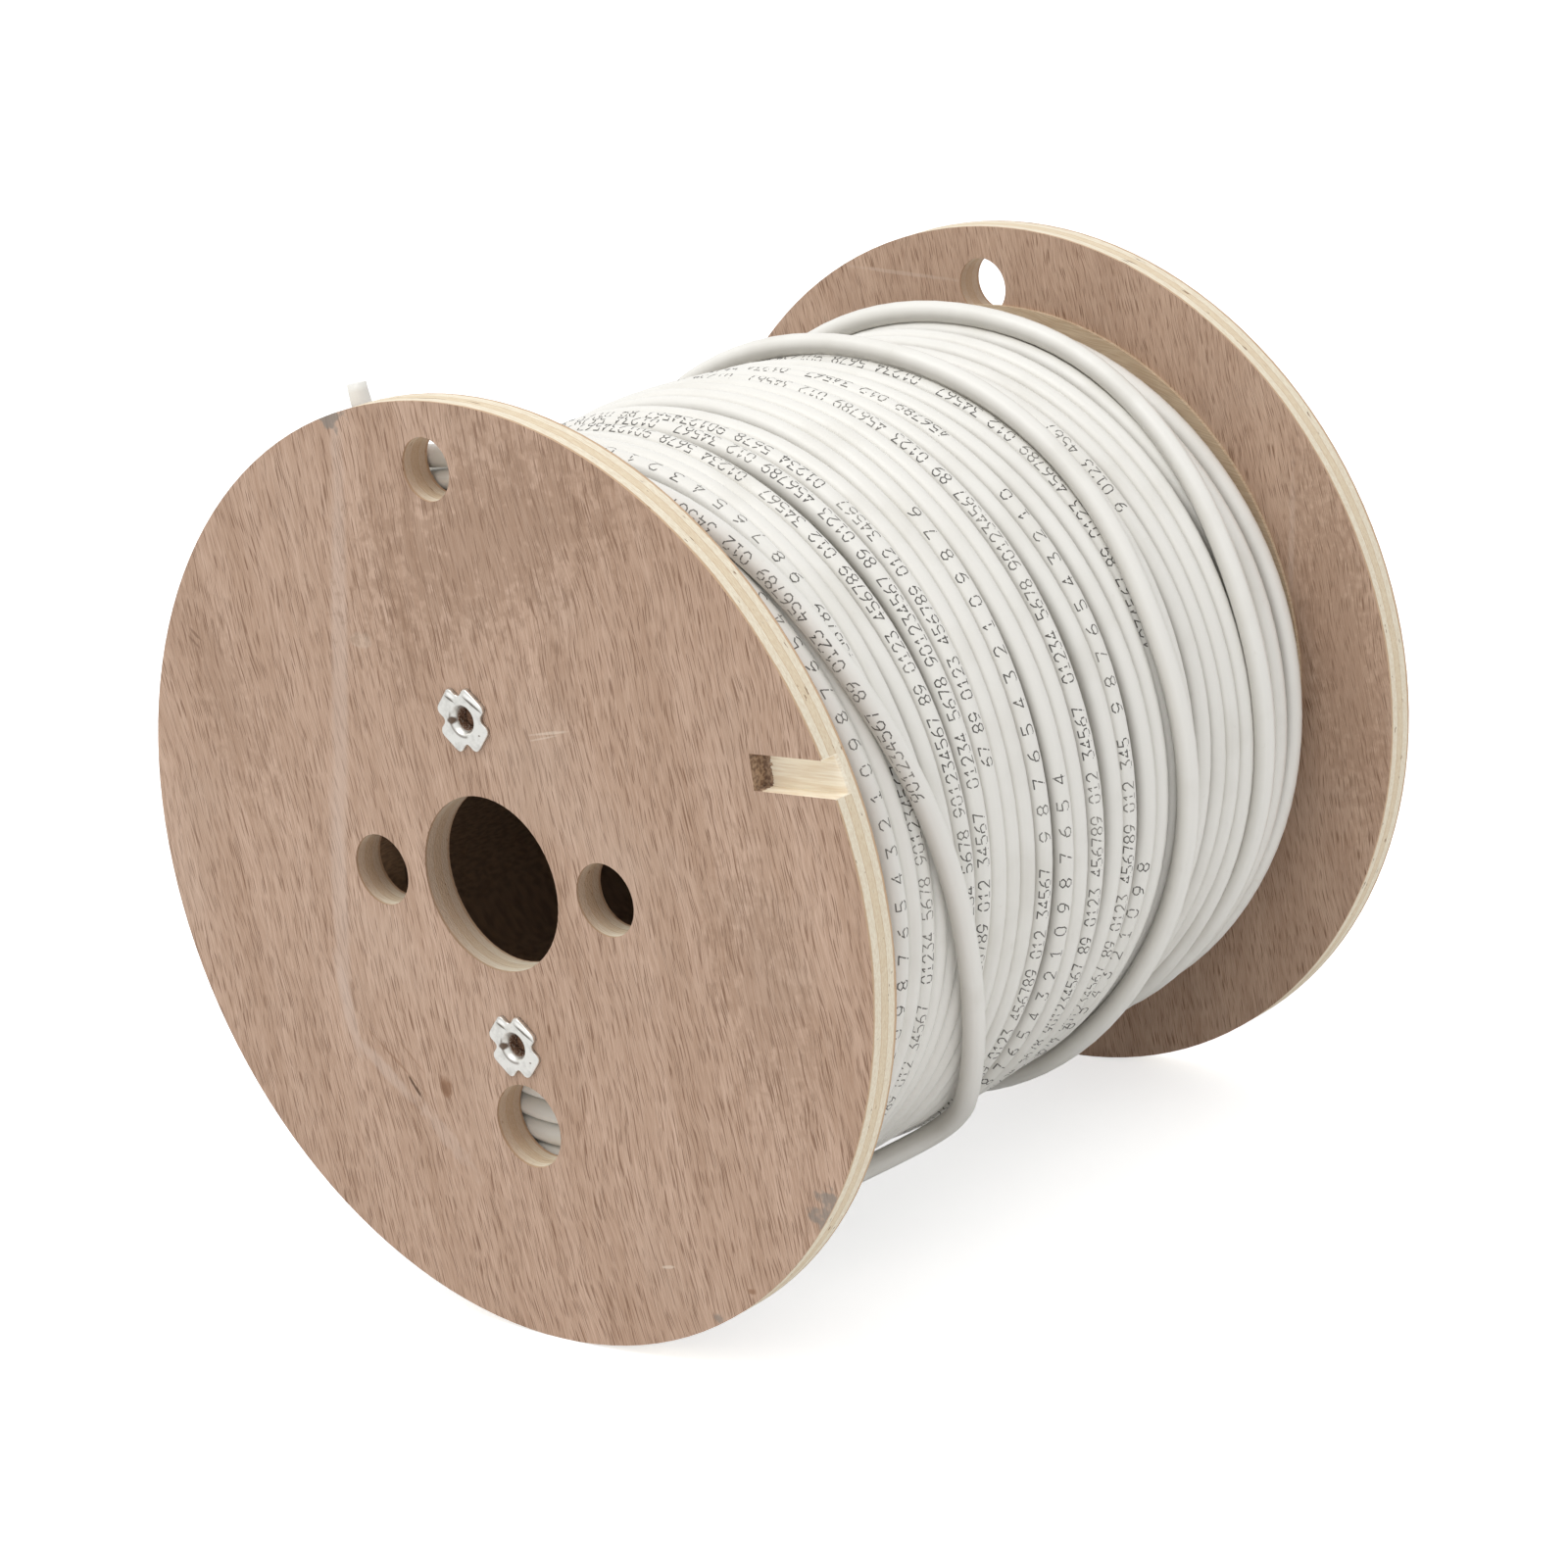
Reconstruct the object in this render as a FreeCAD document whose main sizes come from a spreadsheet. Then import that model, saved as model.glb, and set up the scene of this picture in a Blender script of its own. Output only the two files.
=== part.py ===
import FreeCAD, Part
import math
import os
import Sketcher

# Plywood cable reel, wound almost full with one length of round cable.
# The origin is on the spindle axis, halfway between the two flanges.
# The axis lies along Y: the flange with the tee nuts faces -Y, the one with the bolt heads +Y.
# +Z is up, and the reel stands on the rims of its flanges.

doc = FreeCAD.newDocument("cable_reel")

# Driving dimensions, in millimetres
DRIVING_SIZES = [
    ("flange_diameter", 266.7, "both plywood discs, ten and a half inches"),
    ("flange_thickness", 9.4, "three-eighths plywood"),
    ("traverse", 229.0, "clear width between the flanges, nine inches"),
    ("arbor_diameter", 50.0, "spindle hole on the axis"),
    ("drive_hole_diameter", 20.6, "the two holes either side of the spindle hole"),
    ("drive_circle_diameter", 85.4, "circle through the drive holes"),
    ("tie_hole_diameter", 17.5, "hole near the rim for a tie"),
    ("tie_hole_edge", 9.6, "wood between the tie hole and the rim"),
    ("start_hole_diameter", 24.2, "hole beside the core for the cable's first end"),
    ("start_hole_edge", 0.4, "between the start hole and the core tube"),
    ("slot_width", 9.8, "cut into the outer face at the rim"),
    ("slot_depth", 5.2, "depth of that cut"),
    ("slot_length", 31.8, "from the rim inwards, along X"),
    ("slot_height", 40.2, "middle of the slot above the axis"),
    ("core_diameter", 115.0, "fibreboard tube, outside"),
    ("core_wall", 4.0, "fibreboard tube"),
    ("bolt_diameter", 6.35, "quarter inch"),
    ("bolt_core_gap", 3.825, "from the bolts to the inside of the core tube"),
    ("bolt_tip_chamfer", 0.8, "lead at the bolt's tip"),
    ("bolt_recess", 3.0, "bolt tip behind the outer face of the near flange"),
    ("bolt_head_width", 11.1, "across flats"),
    ("bolt_head_height", 4.2, "hexagon head"),
    ("bolt_hole_clearance", 0.25, "round the bolt in the far flange and in its washer"),
    ("washer_diameter", 19.0, "under the bolt head"),
    ("washer_thickness", 1.6, "under the bolt head"),
    ("tee_diameter", 19.0, "tee nut plate, corner to corner"),
    ("tee_thickness", 1.5, "tee nut plate"),
    ("tee_across", 17.8, "across the folded edges of the plate"),
    ("tee_fold", 0.9, "bevel of the fold above each prong"),
    ("tee_barrel_diameter", 8.0, "threaded barrel in the wood"),
    ("tee_barrel_length", 8.0, "threaded barrel in the wood"),
    ("tee_bore_clearance", 0.08, "round the bolt in the barrel"),
    ("tee_notch_width", 5.6, "notch between two folded edges, at the rim"),
    ("tee_notch_root", 1.6, "the same notch at its root"),
    ("tee_notch_depth", 2.7, "the same notch, rim to root"),
    ("prong_width", 5.0, "prong where it leaves the plate"),
    ("prong_tip_width", 0.6, "prong at its point"),
    ("prong_thickness", 1.2, "sheet that the prong is folded from"),
    ("prong_length", 6.5, "prong, driven into the wood"),
    ("barrel_hole_clearance", 0.15, "round the barrel in the near flange"),
    ("liner_diameter", 206.0, "card disc against the far flange"),
    ("liner_thickness", 1.0, "card"),
    ("liner_lift", 6.5, "how far the card has slid up from the axis"),
    ("liner_clearance", 0.5, "least gap from the card's hole to the core tube"),
    ("cable_diameter", 6.5, "round cable"),
    ("inner_layers_diameter", 210.0, "cable below the outer layer"),
    ("inner_layers_clearance", 0.3, "round the inner layers"),
    ("turn_clearance", 0.5, "least gap from a turn to what it lies on or against"),
    ("end_bend_radius", 19.5, "bend at the cut end that stands up behind the rim"),
    ("cut_end_length", 9.0, "straight end past that bend"),
    ("cut_overrun", 1.0, "how far a cut runs past the face that it opens"),
]

sizes = doc.addObject("Spreadsheet::Sheet", "sizes")
for row, (alias, value, note) in enumerate(DRIVING_SIZES, start=1):
    sizes.set("A%d" % row, note)
    sizes.set("B%d" % row, str(value))
    sizes.setAlias("B%d" % row, alias)
doc.recompute()


def size(alias):
    """Value of one driving dimension."""
    return float(getattr(sizes, alias))


# Planes across the axis, as distances from the middle of the reel
INNER_FACE = "sizes.traverse / 2"
OUTER_FACE = "(sizes.traverse / 2 + sizes.flange_thickness)"

# Distances from the axis: the tie hole keeps to the rim, the start hole and the bolts to the core tube
TIE_HOLE_OFFSET = "(sizes.flange_diameter / 2 - sizes.tie_hole_edge - sizes.tie_hole_diameter / 2)"
START_HOLE_OFFSET = "(sizes.core_diameter / 2 + sizes.start_hole_edge + sizes.start_hole_diameter / 2)"
BOLT_OFFSET = "(sizes.core_diameter / 2 - sizes.core_wall - sizes.bolt_core_gap - sizes.bolt_diameter / 2)"


def new_body(label):
    body = doc.addObject("PartDesign::Body", label)
    body.Label = label
    return body


def origin_plane(body, role):
    return next(f for f in body.Origin.OriginFeatures if getattr(f, "Role", "") == role)


def new_sketch(body, name, role, offset=None, turn=0.0):
    """Sketch on one of the body's own planes, moved along its normal by the expression offset.

    On XZ_Plane the sketch's x is X and its y is Z, and its normal is -Y.
    """
    sketch = body.newObject("Sketcher::SketchObject", name)
    sketch.AttachmentSupport = [(origin_plane(body, role), "")]
    sketch.MapMode = "FlatFace"
    sketch.AttachmentOffset = FreeCAD.Placement(
        FreeCAD.Vector(), FreeCAD.Rotation(FreeCAD.Vector(0, 0, 1), turn)
    )
    if offset is not None:
        sketch.setExpression("AttachmentOffset.Base.z", offset)
    return sketch


def hold(sketch, name, kind, *where, expression):
    """Named dimension of a sketch, bound to an expression."""
    index = sketch.addConstraint(Sketcher.Constraint(kind, *where, sketch.evalExpression(expression)))
    sketch.renameConstraint(index, name)
    sketch.setExpression("Constraints." + name, expression)


def place_point(sketch, name, geometry, point, across, up):
    """Hold a point at the expressions across and up; None keeps it on that axis of the sketch."""
    if across is None:
        sketch.addConstraint(Sketcher.Constraint("PointOnObject", geometry, point, -2))
    else:
        hold(sketch, name + "_across", "DistanceX", -1, 1, geometry, point, expression=across)
    if up is None:
        sketch.addConstraint(Sketcher.Constraint("PointOnObject", geometry, point, -1))
    else:
        hold(sketch, name + "_up", "DistanceY", -1, 1, geometry, point, expression=up)


def evaluated(sketch, expression):
    return 0.0 if expression is None else float(sketch.evalExpression(expression))


def add_circle(sketch, name, diameter, across=None, up=None):
    centre = FreeCAD.Vector(evaluated(sketch, across), evaluated(sketch, up), 0)
    radius = evaluated(sketch, diameter) / 2
    circle = sketch.addGeometry(Part.Circle(centre, FreeCAD.Vector(0, 0, 1), radius))
    hold(sketch, name + "_diameter", "Diameter", circle, expression=diameter)
    place_point(sketch, name, circle, 3, across, up)


def add_outline(sketch, corners):
    """Closed straight-sided outline through corners, which are pairs of expressions."""
    points = [FreeCAD.Vector(evaluated(sketch, x), evaluated(sketch, y), 0) for x, y in corners]
    sides = []
    for start, end in zip(points, points[1:] + points[:1]):
        sides.append(sketch.addGeometry(Part.LineSegment(start, end)))
    for i, side in enumerate(sides):
        sketch.addConstraint(Sketcher.Constraint("Coincident", sides[i - 1], 2, side, 1))
        place_point(sketch, "corner_%d" % i, side, 1, *corners[i])


def pad(body, sketch, name, length, against_normal=False):
    feature = body.newObject("PartDesign::Pad", name)
    feature.Profile = sketch
    feature.setExpression("Length", length)
    feature.Reversed = against_normal
    return feature


def pocket(body, sketch, name, length):
    """Cut that runs against the sketch's normal."""
    feature = body.newObject("PartDesign::Pocket", name)
    feature.Profile = sketch
    feature.setExpression("Length", length)
    return feature


def revolve(body, sketch, name):
    feature = body.newObject("PartDesign::Revolution", name)
    feature.Profile = sketch
    feature.ReferenceAxis = (sketch, ["V_Axis"])
    feature.Angle = 360
    return feature


def repeat_round(body, feature, sketch, axis, name, count):
    """Copies of a feature about an axis of a sketch that lies on the piece's own axis."""
    pattern = body.newObject("PartDesign::PolarPattern", name)
    pattern.Originals = [feature]
    pattern.Axis = (sketch, [axis])
    pattern.Angle = 360
    pattern.Occurrences = count
    body.Tip = pattern
    return pattern


def cut_holes(body, name, plane, diameter, across=None, up=None, count=1):
    """Round holes right through a flange, from the plane that its cuts start on."""
    sketch = new_sketch(body, name + "_sketch", "XZ_Plane", plane)
    add_circle(sketch, name, diameter, across, up)
    hole = pocket(body, sketch, name, "sizes.flange_thickness + sizes.cut_overrun")
    if count > 1:
        repeat_round(body, hole, sketch, "N_Axis", name + "s", count)


# Flanges

def make_flange(label, side, bolt_hole_diameter):
    """Plywood disc on one side of the reel: side is -1 at the tee nuts and 1 at the bolt heads."""
    body = new_body(label)
    # both discs are padded, and cut, in the direction that their sketches face
    start = INNER_FACE if side < 0 else "-" + OUTER_FACE
    cuts_start = OUTER_FACE if side < 0 else "-" + INNER_FACE
    disc_sketch = new_sketch(body, "disc_sketch", "XZ_Plane", start)
    add_circle(disc_sketch, "rim", "sizes.flange_diameter")
    pad(body, disc_sketch, "disc", "sizes.flange_thickness")

    cut_holes(body, "arbor_hole", cuts_start, "sizes.arbor_diameter")
    cut_holes(
        body, "drive_hole", cuts_start, "sizes.drive_hole_diameter",
        across="sizes.drive_circle_diameter / 2", count=2,
    )
    cut_holes(
        body, "bolt_hole", cuts_start, bolt_hole_diameter, up=BOLT_OFFSET, count=2,
    )
    cut_holes(body, "tie_hole", cuts_start, "sizes.tie_hole_diameter", up=TIE_HOLE_OFFSET)
    return body


near_flange = make_flange(
    "near_flange", -1, "sizes.tee_barrel_diameter + 2 * sizes.barrel_hole_clearance"
)
cut_holes(
    near_flange, "start_hole", OUTER_FACE, "sizes.start_hole_diameter", up="-" + START_HOLE_OFFSET,
)
slot_sketch = new_sketch(near_flange, "slot_sketch", "XZ_Plane", OUTER_FACE)
slot_inner_end = "sizes.flange_diameter / 2 - sizes.slot_length"
slot_past_rim = "sizes.flange_diameter / 2 + sizes.cut_overrun"
slot_bottom = "sizes.slot_height - sizes.slot_width / 2"
slot_top = "sizes.slot_height + sizes.slot_width / 2"
add_outline(
    slot_sketch,
    [
        (slot_inner_end, slot_bottom),
        (slot_past_rim, slot_bottom),
        (slot_past_rim, slot_top),
        (slot_inner_end, slot_top),
    ],
)
pocket(near_flange, slot_sketch, "edge_slot", "sizes.slot_depth")

far_flange = make_flange(
    "far_flange", 1, "sizes.bolt_diameter + 2 * sizes.bolt_hole_clearance"
)

# Core tube, clamped between the flanges by the bolts that run inside it

core_tube = new_body("core_tube")
core_sketch = new_sketch(core_tube, "core_sketch", "XZ_Plane", "-" + INNER_FACE)
add_circle(core_sketch, "outside", "sizes.core_diameter")
add_circle(core_sketch, "inside", "sizes.core_diameter - 2 * sizes.core_wall")
pad(core_tube, core_sketch, "tube", "sizes.traverse")

# Card liner against the far flange, slid off the axis by liner_lift

liner_disc = new_body("liner_disc")
liner_sketch = new_sketch(liner_disc, "liner_sketch", "XZ_Plane", "-" + INNER_FACE)
add_circle(liner_sketch, "outside", "sizes.liner_diameter", up="sizes.liner_lift")
liner_hole = "sizes.core_diameter + 2 * (sizes.liner_lift + sizes.liner_clearance)"
add_circle(liner_sketch, "inside", liner_hole, up="sizes.liner_lift")
pad(liner_disc, liner_sketch, "card", "sizes.liner_thickness")

# Tee nuts: a pressed plate on the wood, a barrel in the bolt hole and four prongs folded into the wood


def make_tee_nut(label, side):
    """Tee nut above the axis (side 1) or below it (side -1).

    Its own origin is where the plate meets the wood.
    """
    body = new_body(label)
    plate_sketch = new_sketch(body, "plate_sketch", "XY_Plane")
    bore = "sizes.bolt_diameter / 2 + sizes.tee_bore_clearance"
    barrel = "sizes.tee_barrel_diameter / 2"
    rim = "sizes.tee_diameter / 2"
    add_outline(
        plate_sketch,
        [
            (bore, "sizes.tee_barrel_length"),
            (bore, "-sizes.tee_thickness"),
            (rim, "-sizes.tee_thickness"),
            (rim, None),
            (barrel, None),
            (barrel, "sizes.tee_barrel_length"),
        ],
    )
    revolve(body, plate_sketch, "plate_and_barrel")

    # each folded edge is a straight side of the plate with a bevel above the prong
    fold_sketch = new_sketch(body, "fold_sketch", "XY_Plane", "sizes.tee_diameter / 2")
    edge = "sizes.tee_across / 2"
    past_rim = "sizes.tee_diameter / 2 + sizes.cut_overrun"
    past_top = "-sizes.tee_thickness - sizes.cut_overrun"
    add_outline(
        fold_sketch,
        [
            (edge + " - sizes.tee_fold - sizes.cut_overrun", past_top),
            (past_rim, past_top),
            (past_rim, "sizes.cut_overrun"),
            (edge, "sizes.cut_overrun"),
            (edge, "sizes.tee_fold - sizes.tee_thickness"),
        ],
    )
    fold = pocket(body, fold_sketch, "folded_edge", "sizes.tee_diameter")
    repeat_round(body, fold, plate_sketch, "V_Axis", "folded_edges", 4)

    notch_sketch = new_sketch(body, "notch_sketch", "XZ_Plane", "sizes.tee_thickness", turn=45)
    notch_root = "sizes.tee_diameter / 2 - sizes.tee_notch_depth"
    add_outline(
        notch_sketch,
        [
            (notch_root, "-sizes.tee_notch_root / 2"),
            (past_rim, "-sizes.tee_notch_width / 2"),
            (past_rim, "sizes.tee_notch_width / 2"),
            (notch_root, "sizes.tee_notch_root / 2"),
        ],
    )
    notch = pocket(body, notch_sketch, "notch", "sizes.tee_thickness")
    repeat_round(body, notch, notch_sketch, "N_Axis", "notches", 4)

    prong_sketch = new_sketch(body, "prong_sketch", "YZ_Plane", edge)
    add_outline(
        prong_sketch,
        [
            (None, "-sizes.prong_width / 2"),
            ("sizes.prong_length", "-sizes.prong_tip_width / 2"),
            ("sizes.prong_length", "sizes.prong_tip_width / 2"),
            (None, "sizes.prong_width / 2"),
        ],
    )
    prong = pad(body, prong_sketch, "prong", "sizes.prong_thickness", against_normal=True)
    repeat_round(body, prong, plate_sketch, "V_Axis", "prongs", 4)

    # the folded edges lie at 45 degrees to the row's axes
    body.Placement = FreeCAD.Placement(
        FreeCAD.Vector(), FreeCAD.Rotation(FreeCAD.Vector(0, 1, 0), 45)
    )
    body.setExpression("Placement.Base.y", "-" + OUTER_FACE)
    body.setExpression("Placement.Base.z", "%d * " % side + BOLT_OFFSET)
    return body


# Bolts and washers, from the far side


def make_bolt(label, side):
    """Hexagon bolt; its own origin is under the head, and its shank runs to -Y."""
    body = new_body(label)
    shank_sketch = new_sketch(body, "shank_sketch", "XY_Plane")
    length = "(sizes.traverse + 2 * sizes.flange_thickness + sizes.washer_thickness - sizes.bolt_recess)"
    radius = "sizes.bolt_diameter / 2"
    add_outline(
        shank_sketch,
        [
            (None, None),
            (None, "-" + length),
            (radius + " - sizes.bolt_tip_chamfer", "-" + length),
            (radius, "sizes.bolt_tip_chamfer - " + length),
            (radius, None),
        ],
    )
    revolve(body, shank_sketch, "shank")
    head_sketch = new_sketch(body, "head_sketch", "XZ_Plane")
    corner = "sizes.bolt_head_width / sqrt(3)"
    half_corner = "sizes.bolt_head_width / (2 * sqrt(3))"
    flat = "sizes.bolt_head_width / 2"
    add_outline(
        head_sketch,
        [
            (corner, None),
            (half_corner, flat),
            ("-" + half_corner, flat),
            ("-" + corner, None),
            ("-" + half_corner, "-" + flat),
            (half_corner, "-" + flat),
        ],
    )
    pad(body, head_sketch, "head", "sizes.bolt_head_height", against_normal=True)
    body.setExpression("Placement.Base.y", OUTER_FACE + " + sizes.washer_thickness")
    body.setExpression("Placement.Base.z", "%d * " % side + BOLT_OFFSET)
    return body


def make_washer(label, side):
    """Flat washer; its own origin is where it meets the wood."""
    body = new_body(label)
    sketch = new_sketch(body, "washer_sketch", "XZ_Plane")
    add_circle(sketch, "outside", "sizes.washer_diameter")
    add_circle(sketch, "inside", "sizes.bolt_diameter + 2 * sizes.bolt_hole_clearance")
    pad(body, sketch, "washer", "sizes.washer_thickness", against_normal=True)
    body.setExpression("Placement.Base.y", OUTER_FACE)
    body.setExpression("Placement.Base.z", "%d * " % side + BOLT_OFFSET)
    return body


tee_nuts = [make_tee_nut("tee_nut_upper", 1), make_tee_nut("tee_nut_lower", -1)]
bolts = [make_bolt("bolt_upper", 1), make_bolt("bolt_lower", -1)]
washers = [make_washer("washer_upper", 1), make_washer("washer_lower", -1)]

# Inner layers of the winding

cable_inner_layers = new_body("cable_inner_layers")
layers_start = "-(sizes.traverse / 2 - sizes.liner_thickness - sizes.inner_layers_clearance)"
layers_sketch = new_sketch(cable_inner_layers, "layers_sketch", "XZ_Plane", layers_start)
add_circle(layers_sketch, "outside", "sizes.inner_layers_diameter")
add_circle(layers_sketch, "inside", "sizes.core_diameter + 2 * sizes.inner_layers_clearance")
layers_length = "sizes.traverse - sizes.liner_thickness - 2 * sizes.inner_layers_clearance"
pad(cable_inner_layers, layers_sketch, "layers", layers_length)

# Outer layer of the winding: one tube wound from the far flange to the near one.
# Its last turn lies loose on top of the others and ends in the cut end behind the near rim.

LAYER_TURNS = 8
STOPS_PER_TURN = 2
CABLE_SIDES = 5
CUT_END_BEND = 70
# turns of the layer are laid a little unevenly: shares of the step between turns
WANDER_SHARE = 0.12
WANDER_TURNS = 3.7
# the loose turn: degrees round the axis, counted from +X towards +Z, and how far it has
# come from its place beside the near flange, as shares of the traverse
LOOSE_TURN_SHARES = [
    (-135, 0.000),
    (-105, 0.010),
    (-88, 0.060),
    (-77, 0.165),
    (-68, 0.285),
    (-57, 0.345),
    (-44, 0.325),
    (-30, 0.265),
    (-12, 0.210),
    (10, 0.155),
    (32, 0.108),
    (54, 0.074),
    (75, 0.030),
    (96, 0.000),
]

cable_radius = size("cable_diameter") / 2
far_place = size("traverse") / 2 - size("liner_thickness") - size("turn_clearance") - cable_radius
near_place = -(size("traverse") / 2 - size("turn_clearance") - cable_radius)


def at(angle, y, lift=0.0):
    """Point of the cable's centreline at an angle and a place along the axis, lifted off the layer."""
    radius = size("inner_layers_diameter") / 2 + size("turn_clearance") + cable_radius + lift
    turn = math.radians(angle)
    return FreeCAD.Vector(radius * math.cos(turn), y, radius * math.sin(turn))


def layer_place(turns):
    """Place along the axis after a number of turns of the layer."""
    step = (far_place - near_place) / LAYER_TURNS
    inside = math.sin(math.pi * min(max(turns / LAYER_TURNS, 0.0), 1.0))
    wander = WANDER_SHARE * step * math.sin(2 * math.pi * turns / WANDER_TURNS) * inside
    return far_place - step * turns + wander


def biarc(start, start_way, end, end_way):
    """Two arcs that leave start along start_way and reach end along end_way."""
    reach = end - start
    ways = start_way + end_way
    lean = 2 * (1 - start_way.dot(end_way))
    across = reach.dot(ways)
    if lean < 1e-9:
        length = reach.dot(reach) / (2 * across)
    else:
        length = (math.sqrt(across**2 + lean * reach.dot(reach)) - across) / lean
    joint = (start + end + (start_way - end_way) * length) / 2
    return [arc_from(start, start_way, joint), arc_from(end, end_way * -1, joint)]


def arc_from(start, way, end):
    """Arc from start along way to end, by a point halfway round it."""
    chord = end - start
    along = way.dot(chord) / chord.Length
    across = way - chord * (along / chord.Length)
    if across.Length < 1e-6:
        return Part.LineSegment(start, end).toShape()
    half_turn = math.atan2(across.Length, along)
    rise = chord.Length / 2 * math.tan(half_turn / 2)
    middle = (start + end) / 2 + across.normalize() * rise
    return Part.Arc(start, middle, end).toShape()


def cable_route():
    """Points of the wound cable, evenly spaced round the layer, with the way it runs at each."""
    last_angle, _ = LOOSE_TURN_SHARES[0]
    count = STOPS_PER_TURN * LAYER_TURNS
    first_angle = last_angle - 360 * LAYER_TURNS

    def layer_point(turns):
        return at(first_angle + 360 * turns, layer_place(turns))

    nudge = 0.005
    stops = [layer_point(k / STOPS_PER_TURN) for k in range(count + 1)]
    ways = []
    for k in range(count + 1):
        turns = k / STOPS_PER_TURN
        ways.append((layer_point(turns + nudge) - layer_point(turns - nudge)).normalize())
    # the layer ends against the near flange, level with it
    ways[-1] = FreeCAD.Vector(-math.sin(math.radians(last_angle)), 0, math.cos(math.radians(last_angle)))

    climb = size("cable_diameter") + size("turn_clearance")
    rises = [0.0, 0.6] + [1.0] * (len(LOOSE_TURN_SHARES) - 2)
    loose = []
    for (angle, share), rise in zip(LOOSE_TURN_SHARES, rises):
        loose.append(at(angle, near_place + share * size("traverse"), climb * rise))
    for k in range(1, len(loose)):
        stops.append(loose[k])
        if k < len(loose) - 1:
            before, here, after = loose[k - 1], loose[k], loose[k + 1]
            first, second = here - before, after - here
            way = first * (second.Length / first.Length) + second * (first.Length / second.Length)
        else:
            turn = math.radians(LOOSE_TURN_SHARES[-1][0])
            way = FreeCAD.Vector(-math.sin(turn), 0, math.cos(turn))
        ways.append(way.normalize())
    return stops, ways


def cable_spine():
    stops, ways = cable_route()
    edges = []
    first_end = stops[0] - ways[0] * size("cable_diameter")
    edges.append(Part.LineSegment(first_end, stops[0]).toShape())
    for k in range(len(stops) - 1):
        edges += biarc(stops[k], ways[k], stops[k + 1], ways[k + 1])
    # the cut end bends away from the axis, then runs straight
    start, way = stops[-1], ways[-1]
    outward = FreeCAD.Vector(start.x, 0, start.z).normalize()
    bend, turn = size("end_bend_radius"), math.radians(CUT_END_BEND)
    middle = start + way * (bend * math.sin(turn / 2)) + outward * (bend * (1 - math.cos(turn / 2)))
    end = start + way * (bend * math.sin(turn)) + outward * (bend * (1 - math.cos(turn)))
    end_way = way * math.cos(turn) + outward * math.sin(turn)
    edges.append(Part.Arc(start, middle, end).toShape())
    edges.append(Part.LineSegment(end, end + end_way * size("cut_end_length")).toShape())
    return Part.Wire(edges), first_end, ways[0]


def section(centre, way):
    """Even-sided section of the cable across its way, with a flat side outwards."""
    outward = FreeCAD.Vector(centre.x, 0, centre.z)
    outward = (outward - way * outward.dot(way)).normalize()
    aside = way.cross(outward)
    corners = []
    for k in range(CABLE_SIDES + 1):
        turn = 2 * math.pi * (k + 0.5) / CABLE_SIDES
        corners.append(centre + (outward * math.cos(turn) + aside * math.sin(turn)) * cable_radius)
    return Part.makePolygon(corners)


spine, spine_start, spine_way = cable_spine()
shell = Part.BRepOffsetAPI.MakePipeShell(spine)
shell.add(section(spine_start, spine_way))
shell.build()
shell.makeSolid()
cable_outer_layer = doc.addObject("Part::Feature", "cable_outer_layer")
cable_outer_layer.Label = "cable_outer_layer"
cable_outer_layer.Shape = shell.shape()


def least_gap(wire):
    """Least gap of the tube to itself, from points along its centreline."""
    step = cable_radius
    points = wire.discretize(Distance=step)
    skip = int(math.ceil(2.5 * size("cable_diameter") / step))
    near = {}
    cell = 2 * size("cable_diameter")
    least = cell
    for i, p in enumerate(points):
        key = (int(p.x // cell), int(p.y // cell), int(p.z // cell))
        for a in (-1, 0, 1):
            for b in (-1, 0, 1):
                for c in (-1, 0, 1):
                    for j in near.get((key[0] + a, key[1] + b, key[2] + c), []):
                        if i - j > skip:
                            least = min(least, (p - points[j]).Length)
        near.setdefault(key, []).append(i)
    return least - size("cable_diameter")


section_area = CABLE_SIDES / 2 * cable_radius**2 * math.sin(2 * math.pi / CABLE_SIDES)
radii = [e.Curve.Radius for e in spine.Edges if hasattr(e.Curve, "Radius")]
print("wound cable: length %.0f mm, tightest bend %.1f mm" % (spine.Length, min(radii)))
print("wound cable: least gap to itself %.2f mm" % least_gap(spine))
volume_share = cable_outer_layer.Shape.Volume / (section_area * spine.Length)
print("wound cable: volume over section times length %.4f" % volume_share)
tip = spine.Edges[-1].Vertexes[-1].Point
print("cut end: x %.1f y %.1f z %.1f" % (tip.x, tip.y, tip.z))

# Checks, then one file for each piece

doc.recompute()
for thing in doc.Objects:
    if "Invalid" in thing.State or "Error" in thing.State:
        raise RuntimeError("%s failed: %s" % (thing.Label, thing.State))

pieces = [near_flange, far_flange, core_tube, liner_disc]
pieces += tee_nuts + bolts + washers + [cable_inner_layers, cable_outer_layer]
for piece in pieces:
    shape = piece.Shape
    if shape.isNull() or not shape.isValid() or len(shape.Solids) != 1:
        raise RuntimeError("%s is not one sound solid" % piece.Label)

os.makedirs("parts", exist_ok=True)
for piece in pieces:
    piece.Shape.exportStep(os.path.join("parts", piece.Label + ".step"))
    box = piece.Shape.BoundBox
    print("%-20s volume %.0f  x %.1f %.1f  y %.1f %.1f  z %.1f %.1f" % (
        piece.Label, piece.Shape.Volume, box.XMin, box.XMax, box.YMin, box.YMax, box.ZMin, box.ZMax
    ))
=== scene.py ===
# %% [markdown]
# # A plywood cable reel, dressed for the camera
#
# The reel stands on its rims with its spindle hole level. The CAD model carries the flanges,
# the core and the hardware, and those solids stay as they are: here they get their finishes.
# The winding is different. In CAD it is one coarse tube over a plain ring, so this script winds
# the cable properly, turn by turn, and prints its length marks.

# %% Load the frame
import math

import bpy
import numpy as np
from mathutils import Matrix, Vector


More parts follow.
